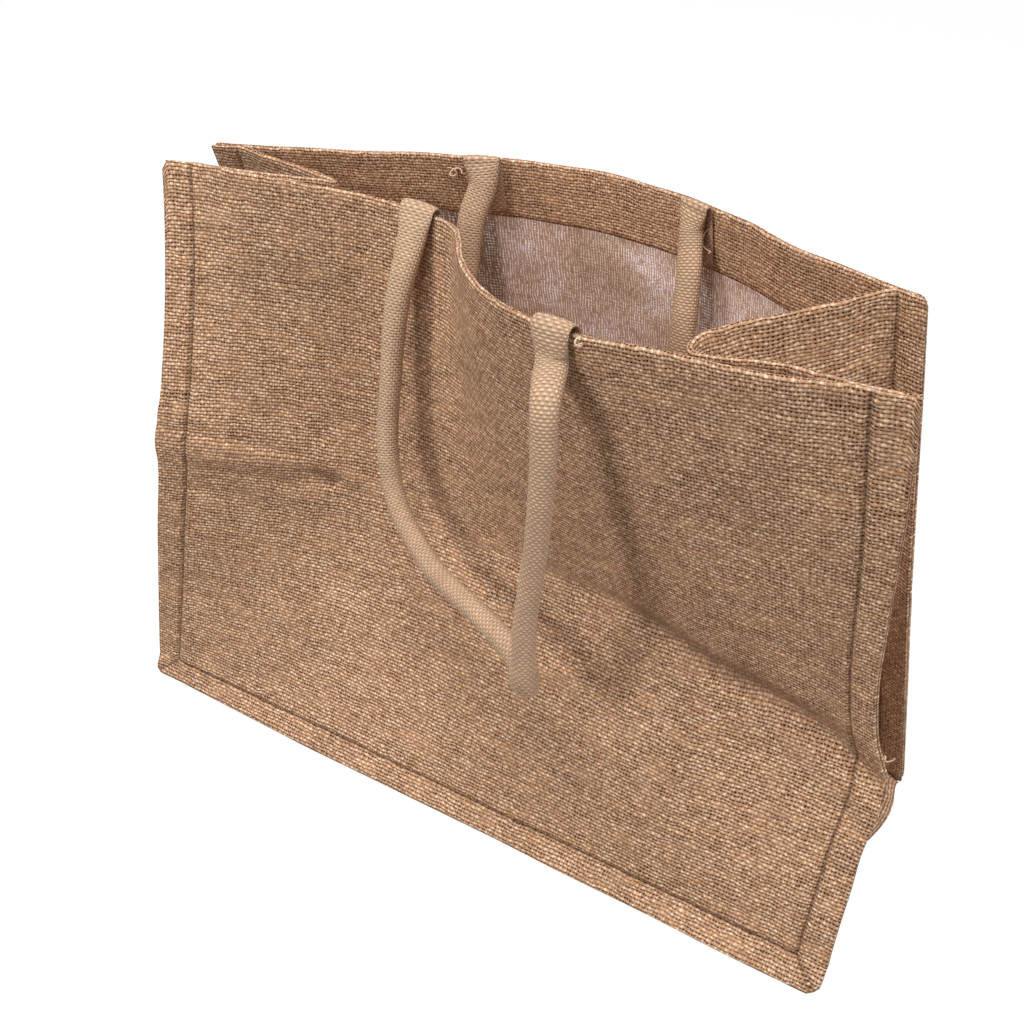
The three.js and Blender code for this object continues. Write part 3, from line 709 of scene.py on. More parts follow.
def handle_line(panel, route, passes_over):
    """The whole handle: points, flatness and the direction across, close together."""
    left, right = (handle_end(panel, side * HANDLE_ALONG, passes_over) for side in (-1, 1))
    count = len(route)
    hung = [np.array(row[:3], float) for row in route]
    wide = [left[2][0] + (right[2][0] - left[2][0]) * (k + 1) / (count + 1) for k in range(count)]
    points = np.array(left[0] + hung + right[0][::-1])
    flat = np.array(left[1] + [row[3] for row in route] + right[1][::-1], float)
    across = np.array(left[2] + wide + right[2][::-1])
    keys, rows = lengths(points, 0.5), np.arange(len(points))
    steps = np.linspace(0, len(points) - 1, (len(points) - 1) * 9 + 1)
    line = curve_through(keys, points, np.interp(steps, rows, keys), True)
    flat, across = np.interp(steps, rows, flat), part_way(steps, rows, across).T
    tangent = unit(np.gradient(line, axis=0))
    across = unit(across - tangent * np.sum(across * tangent, axis=1, keepdims=True))
    return line, flat, across, np.cross(tangent, across)


def handle_object(name, panel, route, passes_over, sizes, material):
    """Webbing wrapped round a filler cord, closed along a sewn lap on its underside."""
    line, flat, across, deep = handle_line(panel, route, passes_over)
    angle, run = np.linspace(0, 2 * math.pi, HANDLE_SIDES + 1), lengths(line)
    radius = sizes.handle / 2 / MM
    half_width = radius + (STRAP_HALF_WIDTH - radius) * flat
    half_deep = radius + (STRAP_HALF_THICKNESS - radius) * flat**2
    lap = 0.5 * (1 - flat)[:, None] * hump(angle, math.pi / 2, 0.16)
    knots = 1 + 0.018 * ripple(run[:, None] + 4 * np.cos(angle), 5 * np.sin(angle), 23, 2.0)
    knots = knots - lap / radius
    spread = half_width[:, None, None] * across[:, None] * (np.cos(angle) * knots)[..., None]
    spread = spread + half_deep[:, None, None] * deep[:, None] * (np.sin(angle) * knots)[..., None]
    mesh = grid_mesh(line[:, None] + spread, (angle / (2 * math.pi) * HANDLE_ROUND, run[:, None]))
    bmesh.ops.remove_doubles(mesh, verts=mesh.verts[:], dist=1e-6)
    rims = [edge for edge in mesh.edges if edge.is_boundary]
    ends = bmesh.ops.holes_fill(mesh, edges=rims, sides=0)["faces"]
    bmesh.ops.triangulate(mesh, faces=ends)
    bmesh.ops.recalc_face_normals(mesh, faces=mesh.faces[:])
    return finish_object(name, mesh, [material])


# --- Stitches, loose threads and edge fibres ---
def append(mesh, part):
    """Adds a finished part to a mesh."""
    data = bpy.data.meshes.new("part")
    part.to_mesh(data)
    part.free()
    mesh.from_mesh(data)
    bpy.data.meshes.remove(data)


def turned_to(axes, spot):
    """The matrix that lays a small form along three axes at a spot, all in millimetres."""
    turn = Matrix([tuple(float(v) * MM for v in axis) for axis in axes]).transposed().to_4x4()
    turn.translation = place(spot)
    return turn


def add_stitches(mesh, points, normals):
    """A row of stitches along a line of points, each lying on the cloth."""
    steps = lengths(points)
    row = bmesh.new()
    for k in range(int(steps[-1] / STITCH_PITCH)):
        at = (k + 0.5) * STITCH_PITCH
        along = unit(part_way(at + 1, steps, points) - part_way(at - 1, steps, points))
        up = part_way(at, steps, normals)
        up = unit(up - along * np.dot(up, along))
        round_axes = (np.cross(up, along) * THREAD_RADIUS, up * THREAD_RADIUS * 0.8)
        turn = turned_to((along * STITCH_LENGTH / 2, *round_axes), part_way(at, steps, points))
        bmesh.ops.create_uvsphere(row, u_segments=6, v_segments=5, radius=1, matrix=turn)
    append(mesh, row)


def add_thread(mesh, points, radii, sides):
    """A thread along points: a ring drawn out from one to the next."""
    tangent = unit(np.gradient(points, axis=0))
    side = unit(np.cross(tangent[0], (0.31, 0.52, 0.79)))
    order = None
    for k, point in enumerate(points):
        side = unit(side - tangent[k] * np.dot(side, tangent[k]))
        other = np.cross(tangent[k], side)
        if order is None:
            ring = bmesh.ops.create_circle(mesh, cap_ends=True, segments=sides, radius=1)["verts"]
            order = sorted(ring, key=lambda v: math.atan2(v.co.y, v.co.x))
        else:
            edges = {e for v in order for e in v.link_edges if e.other_vert(v) in order}
            new = bmesh.ops.extrude_edge_only(mesh, edges=list(edges))["geom"]
            steps = ([e.other_vert(v) for e in v.link_edges] for v in order)
            order = [next(v for v in step if v in new) for step in steps]
        for j, vertex in enumerate(order):
            angle = 2 * math.pi * j / sides
            vertex.co = place(point + (side * math.cos(angle) + other * math.sin(angle)) * radii[k])
    bmesh.ops.contextual_create(mesh, geom=order)


def add_fibres(mesh, points, normals, count, chance, length):
    """Short stray fibres that stand out of an edge, at even chance along it."""
    steps = lengths(points)
    tuft = bmesh.new()
    for at in np.sort(chance.uniform(0, steps[-1], count)):
        if len(tuft.verts) > TUFT:
            append(mesh, tuft)
            tuft = bmesh.new()
        way = unit(part_way(at, steps, normals) + chance.normal(0, 0.75, 3))
        long = length * chance.uniform(0.35, 1.0) ** 1.5
        side = unit(np.cross(way, (0.3, 0.5, 0.8)))
        thin = chance.uniform(0.05, 0.11)
        axes = (side * thin, np.cross(way, side) * thin, way * long)
        turn = turned_to(axes, part_way(at, steps, points) + way * long * 0.35)
        bmesh.ops.create_cone(
            tuft, cap_ends=True, segments=3, radius1=1, radius2=0.15, depth=1, matrix=turn)
    append(mesh, tuft)


def thread_object(name, mesh, material):
    for face in mesh.faces:
        face.smooth = True
    return finish_object(name, mesh, [material])


def panel_stitches(name, panel, material):
    """Seam stitches down both sides, along the bottom and out to the mitred corners."""
    mesh = bmesh.new()
    part = np.linspace(0, 0.95, 6)
    for side in (-1, 1):
        seam = side * SIDE_SEAM
        reach = float(np.hypot(panel.column("splay", seam), FLANGE_DROP))
        mitre = (side * (SIDE_SEAM + SIDE_FLANGE * part), -reach * part)
        for along, up in ((seam, np.linspace(2, 302, 151)), mitre):
            add_stitches(mesh, *panel.outer_line(along, up, STITCH_SINK))
    add_stitches(mesh, *panel.outer_line(np.linspace(-198, 198, 199), 0, STITCH_SINK))
    bmesh.ops.recalc_face_normals(mesh, faces=mesh.faces[:])
    return thread_object(name, mesh, material)


def panel_fibres(name, panel, material, seed):
    """Stray fibres along the mouth and the flange edges of a panel, and its loose threads."""
    chance = np.random.default_rng(seed)
    mesh = bmesh.new()
    at_mouth, at_side, at_bottom = FIBRE_COUNTS
    along, up = np.linspace(-213, 213, 120), np.linspace(-8, 304, 90)
    mouth = panel.edge_line(along, 0 * along + SEAM_TO_MOUTH, 0.4)
    add_fibres(mesh, *mouth, at_mouth, chance, 2.0)
    for side in (-1, 1):
        edge = panel.edge_line(0 * up + side * (HALF - 0.3), up, 0.2)
        add_fibres(mesh, *edge, at_side, chance, 2.6)
    low = panel.dressed(along, 0 * along - 12.5, 0.2)
    down = np.tile((0, panel.outward, -0.4), (len(low), 1))
    add_fibres(mesh, low, down, at_bottom, chance, 2.6)
    for start, turns, size, reach in LOOPS[panel is BACK]:
        part = np.linspace(0, 1, 28)
        angle = part * turns * 2 * math.pi
        swing = (np.cos(angle) * size, np.sin(angle * 1.3) * size * 0.7, np.sin(angle) * size)
        curve = panel.dressed(*start) + np.stack(swing, -1) + np.outer(part, reach)
        add_thread(mesh, curve, THREAD_RADIUS * (1 - 0.5 * part**4), 5)
    return thread_object(name, mesh, material)


# --- Finishes ---
def reckoned(operation, swapped=False):
    """The method that adds one kind of math node when its sign is used on a Term."""
    def method(self, other):
        return self.board.math(operation, *((other, self) if swapped else (self, other)))
    return method


class Term:
    """The output of a node. Signs between it and numbers or other terms add math nodes."""

    def __init__(self, board, socket):
        self.board, self.socket = board, socket

    __add__, __sub__ = reckoned("ADD"), reckoned("SUBTRACT")
    __mul__, __truediv__ = reckoned("MULTIPLY"), reckoned("DIVIDE")
    __rsub__, __rtruediv__ = reckoned("SUBTRACT", True), reckoned("DIVIDE", True)


class Board:
    """Places nodes on one tree and joins them."""

    def __init__(self, tree):
        self.tree = tree

    def feed(self, socket, value):
        if isinstance(value, Term):
            self.tree.links.new(value.socket, socket)
        else:
            socket.default_value = value

    def node(self, kind, inputs=(), **settings):
        """A new node. Its settings come first, since some of them make its sockets."""
        made = self.tree.nodes.new(kind)
        for key, value in settings.items():
            setattr(made, key, value)
        for key, value in dict(inputs).items():
            self.feed(made.inputs[key], value)
        return made

    def add(self, kind, inputs=(), **settings):
        """A new node's outputs by name."""
        return {end.name: Term(self, end) for end in self.node(kind, inputs, **settings).outputs}

    def one(self, kind, inputs=(), output=0, **settings):
        """One output of a new node."""
        return Term(self, self.node(kind, inputs, **settings).outputs[output])

    def math(self, operation, *values, clamp=False):
        return self.one("ShaderNodeMath", enumerate(values), operation=operation, use_clamp=clamp)

    def line(self, value, slope, start):
        return self.math("MULTIPLY_ADD", value, slope, start)

    def split(self, vector):
        return self.add("ShaderNodeSeparateXYZ", {0: vector}).values()

    def join(self, x, y, z):
        return self.one("ShaderNodeCombineXYZ", {0: x, 1: y, 2: z})

    def noise(self, vector, scale, detail, roughness=0.5):
        inputs = {"Vector": vector, "Scale": scale, "Detail": detail, "Roughness": roughness}
        return self.one("ShaderNodeTexNoise", inputs)

    def spread(self, value, low, high, to_low=0.0, to_high=1.0):
        return self.one("ShaderNodeMapRange", {0: value, 1: low, 2: high, 3: to_low, 4: to_high})

    def blend(self, factor, first, second, way="MIX"):
        inputs = {0: factor, 6: first, 7: second}
        return self.one("ShaderNodeMix", inputs, 2, data_type="RGBA", blend_type=way)

    def shaded(self, tint, *factors):
        """A colour made darker or lighter by all the factors."""
        shade = factors[0]
        for factor in factors[1:]:
            shade = shade * factor
        return self.blend(1.0, tint, self.join(shade, shade, shade), "MULTIPLY")

    def mark(self, name):
        """One of the values that a cloth's points carry."""
        return self.add("ShaderNodeAttribute", attribute_name=name)["Fac"]

    def group(self, tree, **inputs):
        inputs = {key.replace("_", " "): value for key, value in inputs.items()}
        return self.add("ShaderNodeGroup", inputs, node_tree=tree)


def new_group(name, **numbers):
    """A group that is given a place and some numbers: its board and its inputs by name."""
    tree = bpy.data.node_groups.new(name, "ShaderNodeTree")
    tree.interface.new_socket(name="Place", in_out="INPUT", socket_type="NodeSocketVector")
    for key, value in numbers.items():
        label = key.replace("_", " ")
        made = tree.interface.new_socket(name=label, in_out="INPUT", socket_type="NodeSocketFloat")
        made.default_value = value
    b = Board(tree)
    return b, b.add("NodeGroupInput")


def end_group(b, **outputs):
    """Gives a group its outputs."""
    for name in outputs:
        b.tree.interface.new_socket(name=name, in_out="OUTPUT", socket_type="NodeSocketFloat")
    b.node("NodeGroupOutput", outputs)
    return b.tree


def weave_group():
    """Plain weave: yarns over and under one another, with slubs, gaps, and a tone for each yarn
    and each crossing. Its gap mask marks painted shade in the holes and under each level yarn that
    crosses over, and its crown mask marks a painted highlight on each yarn. Open is 0 for a close
    weave without holes."""
    b, given = new_group("Plain weave", Across=1.65, Up=1.9, Upright_yarn=0.42, Level_yarn=0.46,
                         Unevenness=0.75, Open=1.0)
    uneven, opened = given["Unevenness"], given["Open"]
    x, y, _ = b.split(given["Place"])
    wander = b.noise(b.join(x, y * 0.7, 1.0), 0.11, 2.0, 0.65) - 0.5
    stray = b.noise(b.join(x * 0.7, y, 5.0), 0.11, 2.0, 0.65) - 0.5
    x = b.line(wander * uneven, 4.5, x) / given["Across"]
    y = b.line(stray * uneven, 4.5, y) / given["Up"]
    i, j = b.math("FLOOR", x), b.math("FLOOR", y)
    fx, fy = x - i - 0.5, y - j - 0.5
    odd = b.math("FLOORED_MODULO", i + j, 2.0)
    sign = b.line(odd, -2.0, 1.0)
    upright = b.noise(b.join(i * 3.71, y * 0.13, 1.0), 1.0, 1.0)
    level = b.noise(b.join(x * 0.11, j * 4.13, 9.0), 1.0, 1.0)
    upright_width = b.line((upright - 0.5) * uneven, 0.34, given["Upright yarn"])
    level_width = b.line((level - 0.5) * uneven, 0.42, given["Level yarn"])

    def yarn(off, width, along, side, under):
        """The height of a yarn's round top, down to under where it dips below another."""
        part = off / width
        round_top = b.math("SQRT", b.math("MAXIMUM", 1.0 - part * part, 0.0))
        wave = b.math("COSINE", along * math.pi) * side
        return round_top * b.line(wave, (1 - under) / 2, (1 + under) / 2)

    upright_height = yarn(fx, upright_width, fy, sign, 0.1)
    level_height = yarn(fy, level_width, fx, sign * -1.0, 0.3)
    over = b.math("GREATER_THAN", level_height, upright_height)
    off_x, off_y = b.math("ABSOLUTE", fx), b.math("ABSOLUTE", fy)
    hole_x = b.spread(off_x, upright_width - 0.2, upright_width - 0.11)
    hole_y = b.spread(off_y, level_width - 0.2, level_width - 0.11)
    # Painted shadow just below each level yarn that crosses over
    shade = b.spread(off_x, 0.62, 0.34) * b.spread(fy * sign, level_width - 0.26, level_width)
    # Where a painted highlight goes on the crown of each yarn
    crown_highlight = b.spread(off_x, 0.5, 0.32) * b.spread(off_y, 0.32, 0.16)
    tone = over * level + (1.0 - over) * upright
    cell = b.join(b.math("FLOOR", x + 0.5), j, 0.5)
    return end_group(
        b,
        Height=b.math("MAXIMUM", upright_height, level_height),
        Gap=b.math("MAXIMUM", hole_x * hole_y * opened, shade * b.line(opened, -0.4, 1.0)),
        Tone=(tone + b.line(over, 0.3, -0.8)) * 2.0,
        Crossing=b.add("ShaderNodeTexWhiteNoise", {"Vector": cell}, noise_dimensions="3D")["Value"],
        Crown=crown_highlight * b.math("MAXIMUM", odd, opened * 0.35),
        Rib=off_x,
    )


def fibre_group():
    """Fine fibres along the yarns, and slow blotches, streaks and clear patches in the cloth."""
    b, given = new_group("Fibre and blotch", Blotch_size=45.0)
    x, y, _ = b.split(given["Place"])
    return end_group(
        b,
        Fibre=b.noise(b.join(x * 0.6, y * 4.0, 2.0), 1.0, 2.0, 0.7),
        Blotch=b.noise(given["Place"], 1.0 / given["Blotch size"], 2.0, 0.6),
        Streak=b.noise(b.join(x * 0.012, y * 0.33, 4.0), 1.0, 1.0, 0.6),
        Clear=b.noise(b.join(x * 0.05, y * 0.09, 7.0), 1.0, 1.0, 0.6),
    )


def new_material(name):
    """A new material: its board and its shader."""
    material = bpy.data.materials.new(name)
    material.use_nodes = True
    nodes = material.node_tree.nodes
    nodes.clear()
    b, shader = Board(material.node_tree), nodes.new("ShaderNodeBsdfPrincipled")
    b.tree.links.new(shader.outputs[0], nodes.new("ShaderNodeOutputMaterial").inputs[0])
    return b, shader


def woven_material(name, groups, blotch=45.0, **yarns):
    """A new material with the weave and its fibres laid out by the cloth's own coordinates."""
    b, shader = new_material(name)
    uv = b.one("ShaderNodeUVMap", uv_map="Cloth")
    cloth = b.group(groups[0], Place=uv, **yarns)
    return b, shader, uv, cloth, b.group(groups[1], Place=uv, Blotch_size=blotch)


def cover(b, shader, height, distance, strength, **surface):
    """Gives a shader its bump and the rest of its surface."""
    bump = {"Height": height, "Distance": distance, "Strength": strength}
    b.feed(shader.inputs["Normal"], b.one("ShaderNodeBump", bump))
    for key, value in surface.items():
        b.feed(shader.inputs[key.replace("_", " ")], value)


def jute_material(name, colours, groups, yarns):
    b, shader, _, cloth, grain = woven_material(name, groups, **yarns)
    wear_and_shade, crossing, fibre = b.mark("Wear and shade"), cloth["Crossing"], grain["Fibre"]
    clear = b.spread(grain["Clear"], 0.34, 0.5, 0.7, 1.05) * b.line(wear_and_shade, -0.8, 1.0)
    # Painted highlight on the crowns of the yarns
    crown_highlight = cloth["Crown"] * b.spread(crossing, 0.15, 0.95) * b.spread(fibre, 0.3, 0.65, 0.5, 1.15)
    tint = b.blend(crown_highlight * clear, opaque(colours.jute), opaque(colours.jute_highlight))
    # Painted shade in the holes and under the crossing yarns
    gap = cloth["Gap"] * b.spread(crossing, 0.1, 1.0, 1.15, 0.65)
    gap = b.math("MULTIPLY", gap, b.spread(fibre, 0.3, 0.7, 1.15, 0.85), clamp=True)
    tint = b.blend(gap * clear, tint, opaque(colours.jute_dark))
    golden = b.blend(1.0, tint, opaque(GOLDEN), "MULTIPLY")
    tint = b.blend(b.spread(cloth["Tone"], 0.0, 0.5) * 0.45, tint, golden)
    # Tone, crossings, blotches, fibres and streaks vary the colour; the last two factors darken it
    # with painted shade in the stitched grooves and along the crease line
    tint = b.shaded(
        tint,
        b.line(cloth["Tone"], 0.17, 1.0),
        b.spread(crossing, 0.0, 1.0, 0.88, 1.12),
        b.spread(grain["Blotch"], 0.25, 0.75, 0.9, 1.1),
        b.spread(fibre, 0.2, 0.8, 0.8, 1.2),
        b.spread(grain["Streak"], 0.25, 0.75, 0.9, 1.1),
        b.line(b.mark("Groove shade"), -0.6, 1.0),
        b.line(wear_and_shade, -0.42, 1.0),
    )
    roughness = b.spread(cloth["Height"], 0.0, 1.0, 0.95, 0.68)
    height = b.line(fibre, 0.25, cloth["Height"])
    cover(b, shader, height, 0.0007, 0.9, Base_Color=tint, Roughness=roughness,
          Specular_IOR_Level=0.12)


def film_material(name, colours, groups, yarns):
    """The inside of the cloth: jute seen through a thin laminated film."""
    b, shader, uv, cloth, grain = woven_material(name, groups, **yarns)
    x, y, _ = b.split(uv)
    height, bare_shade_light, film_gap_shade = cloth["Height"], b.mark("Bare shade and light"), opaque(colours.film_gap_shade)
    streak = b.noise(b.join(x * 0.9, y * 0.22, 3.0), 1.0, 2.0, 0.75)
    rib = b.spread(cloth["Rib"], 0.2, 0.42) * b.spread(streak, 0.42, 0.54)
    tint = b.blend(rib, opaque(colours.film_dark), opaque(colours.film))
    # Painted shade between the yarns, where the film lies low
    tint = b.blend(b.spread(height, 0.45, 0.15, 0.0, 0.8), tint, film_gap_shade)
    # In the bare strips the film is painted dark: painted shade
    tint = b.blend(bare_shade_light * 0.75, tint, film_gap_shade)
    # Bright specks in the gaps, most of all in the bare strips: painted light coming through the
    # cloth from behind
    holes = b.spread(height, 0.6, 0.3) * b.spread(cloth["Crossing"], 0.35, 0.6)
    speck = holes * b.math("MAXIMUM", b.spread(grain["Clear"], 0.4, 0.52), bare_shade_light)
    tint = b.blend(speck, tint, opaque(colours.film_speck))
    # The film in the flanges takes the same painted shade, between the layers pressed together
    tint = b.blend(b.mark("Flange"), tint, film_gap_shade)
    rosy = b.blend(b.spread(grain["Blotch"], 0.35, 0.65), opaque(FILM_WARM), opaque(FILM_ROSY))
    tint = b.shaded(tint, b.spread(grain["Blotch"], 0.3, 0.7, 0.62, 1.2))
    tint = b.blend(1.0, tint, rosy, "MULTIPLY")
    roughness = b.spread(streak, 0.3, 0.7, 0.34, 0.6)
    # The film glows a little in its own colour: painted light standing in for light coming through
    # the cloth
    cover(b, shader, height, 0.0004, 0.8, Base_Color=tint, Roughness=roughness,
          Emission_Color=tint, Emission_Strength=0.25)


def webbing_material(name, colours, groups):
    b, shader, _, cloth, grain = woven_material(
        name, groups, 20.0, Across=1.4, Up=1.45, Upright_yarn=0.45, Level_yarn=0.47,
        Unevenness=0.14, Open=0.0,
    )
    # Painted highlight on the crowns of the webbing's yarns
    crown_highlight = cloth["Crown"] * b.spread(cloth["Crossing"], 0.0, 1.0, 0.5, 1.0)
    tint = b.blend(crown_highlight, opaque(colours.webbing), opaque(colours.webbing_highlight))
    # Painted shade between the webbing's yarns
    gap = cloth["Gap"] * b.spread(cloth["Crossing"], 0.0, 1.0, 0.9, 0.4)
    tint = b.blend(gap, tint, opaque(colours.webbing_dark))
    tint = b.shaded(
        tint,
        b.line(cloth["Tone"], 0.12, 1.0),
        b.spread(grain["Blotch"], 0.25, 0.75, 0.9, 1.1),
        b.spread(grain["Fibre"], 0.2, 0.8, 0.93, 1.07),
    )
    roughness = b.spread(cloth["Height"], 0.0, 1.0, 0.9, 0.7)
    cover(b, shader, cloth["Height"], 0.0006, 0.9, Base_Color=tint, Roughness=roughness)


def thread_material(name, colour):
    b, shader = new_material(name)
    twist = b.noise(b.add("ShaderNodeTexCoord")["Object"], 900.0, 2.0)
    tint = b.shaded(opaque(colour), b.spread(twist, 0.3, 0.7, 0.75, 1.2))
    roughness = b.spread(twist, 0.3, 0.7, 0.7, 0.9)
    cover(b, shader, twist, 0.0002, 0.5, Base_Color=tint, Roughness=roughness)


def floor_material(name):
    b, shader = new_material(name)
    soft = b.noise(b.add("ShaderNodeTexCoord")["Object"], 3.0, 2.0)
    soft = b.spread(soft, 0.3, 0.7, 0.38, 0.40)
    seen = b.add("ShaderNodeLightPath")["Is Camera Ray"]
    seen_grey = b.blend(seen, b.join(soft, soft, soft), opaque((0.09, 0.09, 0.09)))
    glow = b.blend(seen, opaque((0, 0, 0)), opaque((1, 1, 1)))
    for key, value in (("Base Color", seen_grey), ("Roughness", 0.9),
                       ("Emission Color", glow), ("Emission Strength", 0.96)):
        b.feed(shader.inputs[key], value)
    return bpy.data.materials[name]


def opaque(colour):
    return (*colour, 1)


def finishes(context):
    """The finishes by name, built once."""
    names = ("Jute cloth", "Film lining", "Cotton webbing", "Jute thread", "Jute fibre")
    if not all(name in bpy.data.materials for name in names):
        sizes, colours = context.scene.tote_sizes, context.scene.tote_colours
        groups = weave_group(), fibre_group()
        yarns = {"Across": sizes.yarn_across / MM, "Up": sizes.yarn_up / MM}
        jute_material(names[0], colours, groups, yarns)
        film_material(names[1], colours, groups, yarns)
        webbing_material(names[2], colours, groups)
        thread_material(names[3], colours.thread)
        thread_material(names[4], colours.fibre)
    return {name: bpy.data.materials[name] for name in names}


# --- Settings, operators and panel ---
def length_setting(name, description, default, low, high):
    return FloatProperty(name=name, description=description, default=default, min=low, max=high,
                         subtype="DISTANCE", unit="LENGTH", precision=4)


def colour_setting(name, description, default):
    return FloatVectorProperty(name=name, description=description, default=default, size=3,
                               subtype="COLOR", min=0, max=1)


class ToteSizes(bpy.types.PropertyGroup):
    cloth: length_setting("Cloth", "Thickness of the cloth with its film", 0.0015, 0.0008, 0.0016)
    hem_depth: length_setting("Hem depth", "How far the hem reaches inside", 0.034, 0.02, 0.036)
    handle: length_setting("Handle", "Thickness of a padded handle", 0.0112, 0.008, 0.0124)
    yarn_across: length_setting("Yarns across", "Between upright yarns", 0.00165, 0.0008, 0.004)
    yarn_up: length_setting("Yarns up", "Between level yarns", 0.0019, 0.0008, 0.004)


class ToteColours(bpy.types.PropertyGroup):
    jute: colour_setting("Jute", "Body of the jute yarns", (0.575, 0.335, 0.2))
    jute_dark: colour_setting("Jute gaps", "Shade between the yarns", (0.06, 0.012, 0.001))
    # Painted highlight on the crowns of the jute yarns
    jute_highlight: colour_setting("Jute crowns", "Crowns of the yarns", (0.92, 0.745, 0.58))
    film: colour_setting("Film", "Film along the yarns", (1.0, 0.90, 0.86))
    film_dark: colour_setting("Film shade", "Jute seen through the film", (0.44, 0.28, 0.2))
    # Painted shade between the yarns under the film
    film_gap_shade: colour_setting("Film gap", "Film between the yarns", (0.13, 0.065, 0.035))
    film_speck: colour_setting("Film speck", "Light that comes through a gap", (1.0, 0.98, 1.0))
    webbing: colour_setting("Webbing", "Cotton webbing of the handles", (0.53, 0.345, 0.222))
    webbing_dark: colour_setting("Webbing shade", "Shade between its yarns", (0.17, 0.085, 0.045))
    # Painted highlight on the crowns of the webbing's yarns
    webbing_highlight: colour_setting("Webbing crowns", "Crowns of its yarns", (0.82, 0.60, 0.42))
    thread: colour_setting("Thread", "Sewing thread", (0.25, 0.14, 0.075))
    fibre: colour_setting("Fibre", "Stray fibres and loose ends", (0.80, 0.60, 0.45))


class TOTE_OT_camera(bpy.types.Operator):
    """Place the camera where the photograph was taken from"""
    bl_idname = "tote.camera"
    bl_label = "Camera"

    def execute(self, context):
        data = bpy.data.cameras.new("Camera")
        data.lens, data.sensor_width = 43.48, 36.0
        camera = bpy.data.objects.new("Camera", data)
        context.scene.collection.objects.link(camera)
        right = (0.86159, 0.50489, 0.05251)
        up = (-0.31131, 0.44387, 0.84028)
        back = (0.40094, -0.74032, 0.53961)
        turn = Matrix((right, up, back)).transposed().to_4x4()
        turn.translation = (0.25497, -0.50775, 0.5112)
        camera.matrix_world = turn
        context.scene.camera = camera
        return {"FINISHED"}


class TOTE_OT_stage(bpy.types.Operator):
    """Add a plain pale floor and soft studio light"""
    bl_idname = "tote.stage"
    bl_label = "Stage"

    def execute(self, context):
        scene = context.scene
        scene.view_settings.view_transform = "Standard"
        mesh = bmesh.new()
        bmesh.ops.create_grid(mesh, x_segments=8, y_segments=8, size=6.0)
        floor = finish_object("Floor", mesh, [floor_material("Floor")])
        world = bpy.data.worlds.new("Studio")
        world.use_nodes = True
        world.node_tree.nodes["Background"].inputs[0].default_value = (1.0, 0.985, 0.97, 1)
        world.node_tree.nodes["Background"].inputs[1].default_value = 0.17
        scene.world = world
        for name, spot, aim_at, size, power, colour in LIGHTS:
            data = bpy.data.lights.new(name, "AREA")
            data.shape, data.size, data.energy, data.color = "DISK", size, power, colour
            lamp = bpy.data.objects.new(name, data)
            lamp.location = spot
            aim = Vector((0, 0, aim_at)) - lamp.location
            lamp.rotation_euler = aim.to_track_quat("-Z", "Y").to_euler()
            scene.collection.objects.link(lamp)
        return {"FINISHED"}


def settle(piece, node):
    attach(piece, "root")
    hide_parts(node)


class TOTE_OT_panels(bpy.types.Operator):
    """Make the front and back panels with their hems, flanges, seam stitches and stray fibres"""
    bl_idname = "tote.panels"
    bl_label = "Panels"

    def execute(self, context):
        sizes, kept = context.scene.tote_sizes, finishes(context)
        faces = [kept["Jute cloth"], kept["Film lining"]]
        for name, panel, seed in (("front_panel", FRONT, 11), ("back_panel", BACK, 12)):
            cloth = panel_object(name + "_cloth", panel, sizes, faces)
            seams = panel_stitches(name + "_stitches", panel, kept["Jute thread"])
            stray = panel_fibres(name + "_fibres", panel, kept["Jute fibre"], seed)
            for piece in (cloth, seams, stray):
                settle(piece, name)
        return {"FINISHED"}


class TOTE_OT_gussets(bpy.types.Operator):
    """Make the two side gussets with their centre folds"""
    bl_idname = "tote.gussets"
    bl_label = "Side gussets"

    def execute(self, context):
        sizes, kept = context.scene.tote_sizes, finishes(context)
        faces = [kept["Jute cloth"], kept["Film lining"]]
        for name, gusset in (
            ("left_gusset", Gusset(-1, LEFT_FOLDS, LEFT_CREASES, 7.0)),
            ("right_gusset", Gusset(1, RIGHT_FOLDS, RIGHT_CREASES, 9.0)),
        ):
            cloth = gusset_object(name + "_cloth", gusset, sizes, faces)
            settle(cloth, name)
        return {"FINISHED"}


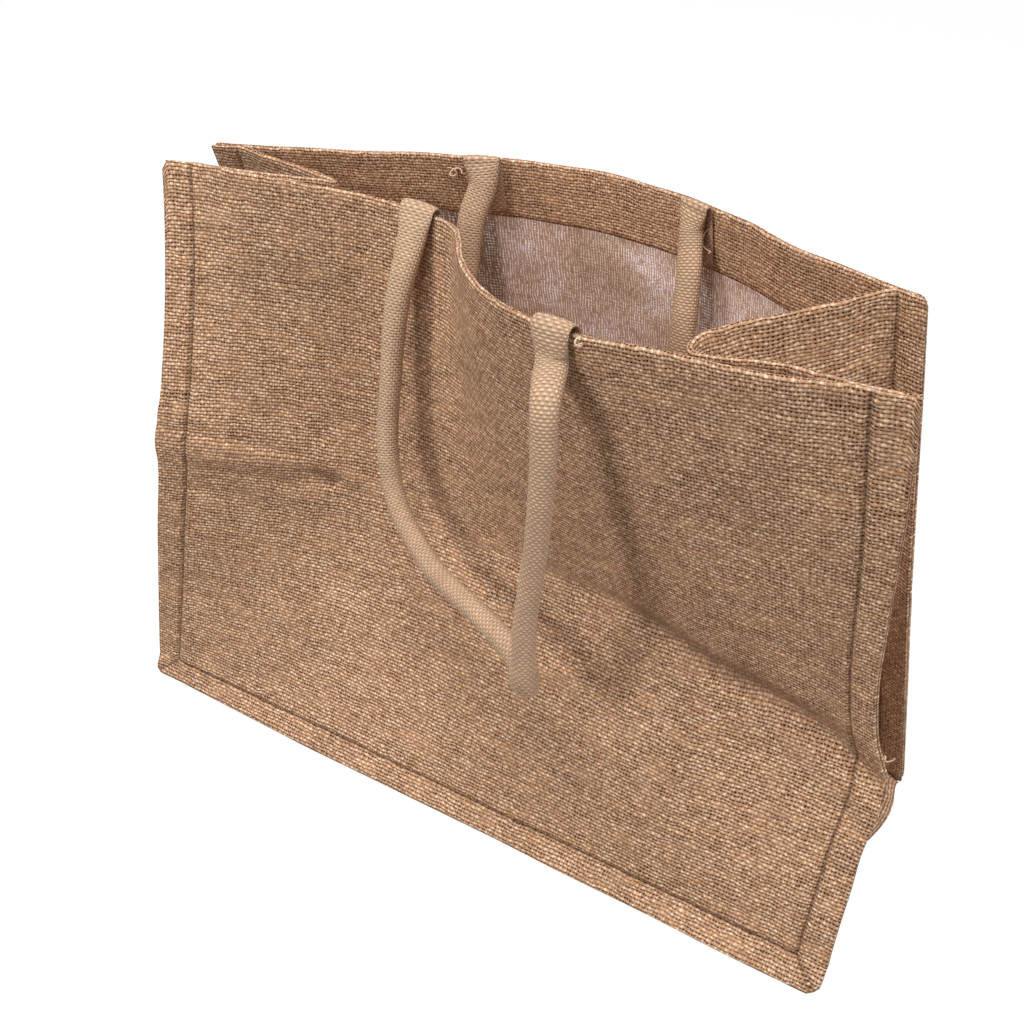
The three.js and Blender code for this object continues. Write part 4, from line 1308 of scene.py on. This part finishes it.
class TOTE_OT_base(bpy.types.Operator):
    """Make the base, which runs out under the flanges"""
    bl_idname = "tote.base"
    bl_label = "Base"

    def execute(self, context):
        sizes, kept = context.scene.tote_sizes, finishes(context)
        cloth = base_object("base_cloth", sizes, [kept["Jute cloth"], kept["Film lining"]])
        settle(cloth, "base")
        return {"FINISHED"}


class TOTE_OT_handles(bpy.types.Operator):
    """Make the two padded webbing handles"""
    bl_idname = "tote.handles"
    bl_label = "Handles"

    def execute(self, context):
        sizes, webbing = context.scene.tote_sizes, finishes(context)["Cotton webbing"]
        for name, panel, route, passes_over in (
            ("front_handle", FRONT, FRONT_ROUTE, True),
            ("back_handle", BACK, BACK_ROUTE, False),
        ):
            handle = handle_object(name + "_webbing", panel, route, passes_over, sizes, webbing)
            settle(handle, name)
        return {"FINISHED"}


PIECES = (
    TOTE_OT_camera, TOTE_OT_stage, TOTE_OT_panels, TOTE_OT_gussets, TOTE_OT_base, TOTE_OT_handles,
)


class TOTE_PT_sidebar(bpy.types.Panel):
    """Sizes, colours and pieces of the tote bag"""
    bl_label = "Jute tote bag"
    bl_idname = "TOTE_PT_sidebar"
    bl_space_type = "VIEW_3D"
    bl_region_type = "UI"
    bl_category = "Tote"

    def draw(self, context):
        for group in (context.scene.tote_sizes, context.scene.tote_colours):
            column = self.layout.column(align=True)
            for name in group.__annotations__:
                column.prop(group, name)
        for piece in PIECES:
            self.layout.operator(piece.bl_idname)


CLASSES = (ToteSizes, ToteColours, *PIECES, TOTE_PT_sidebar)


def register():
    for made in CLASSES:
        bpy.utils.register_class(made)
    bpy.types.Scene.tote_sizes = PointerProperty(type=ToteSizes)
    bpy.types.Scene.tote_colours = PointerProperty(type=ToteColours)


def unregister():
    del bpy.types.Scene.tote_colours
    del bpy.types.Scene.tote_sizes
    for made in reversed(CLASSES):
        bpy.utils.unregister_class(made)


def main():
    register()
    for piece in PIECES:
        group, name = piece.bl_idname.split(".")
        getattr(getattr(bpy.ops, group), name)()


if __name__ == "__main__":
    main()
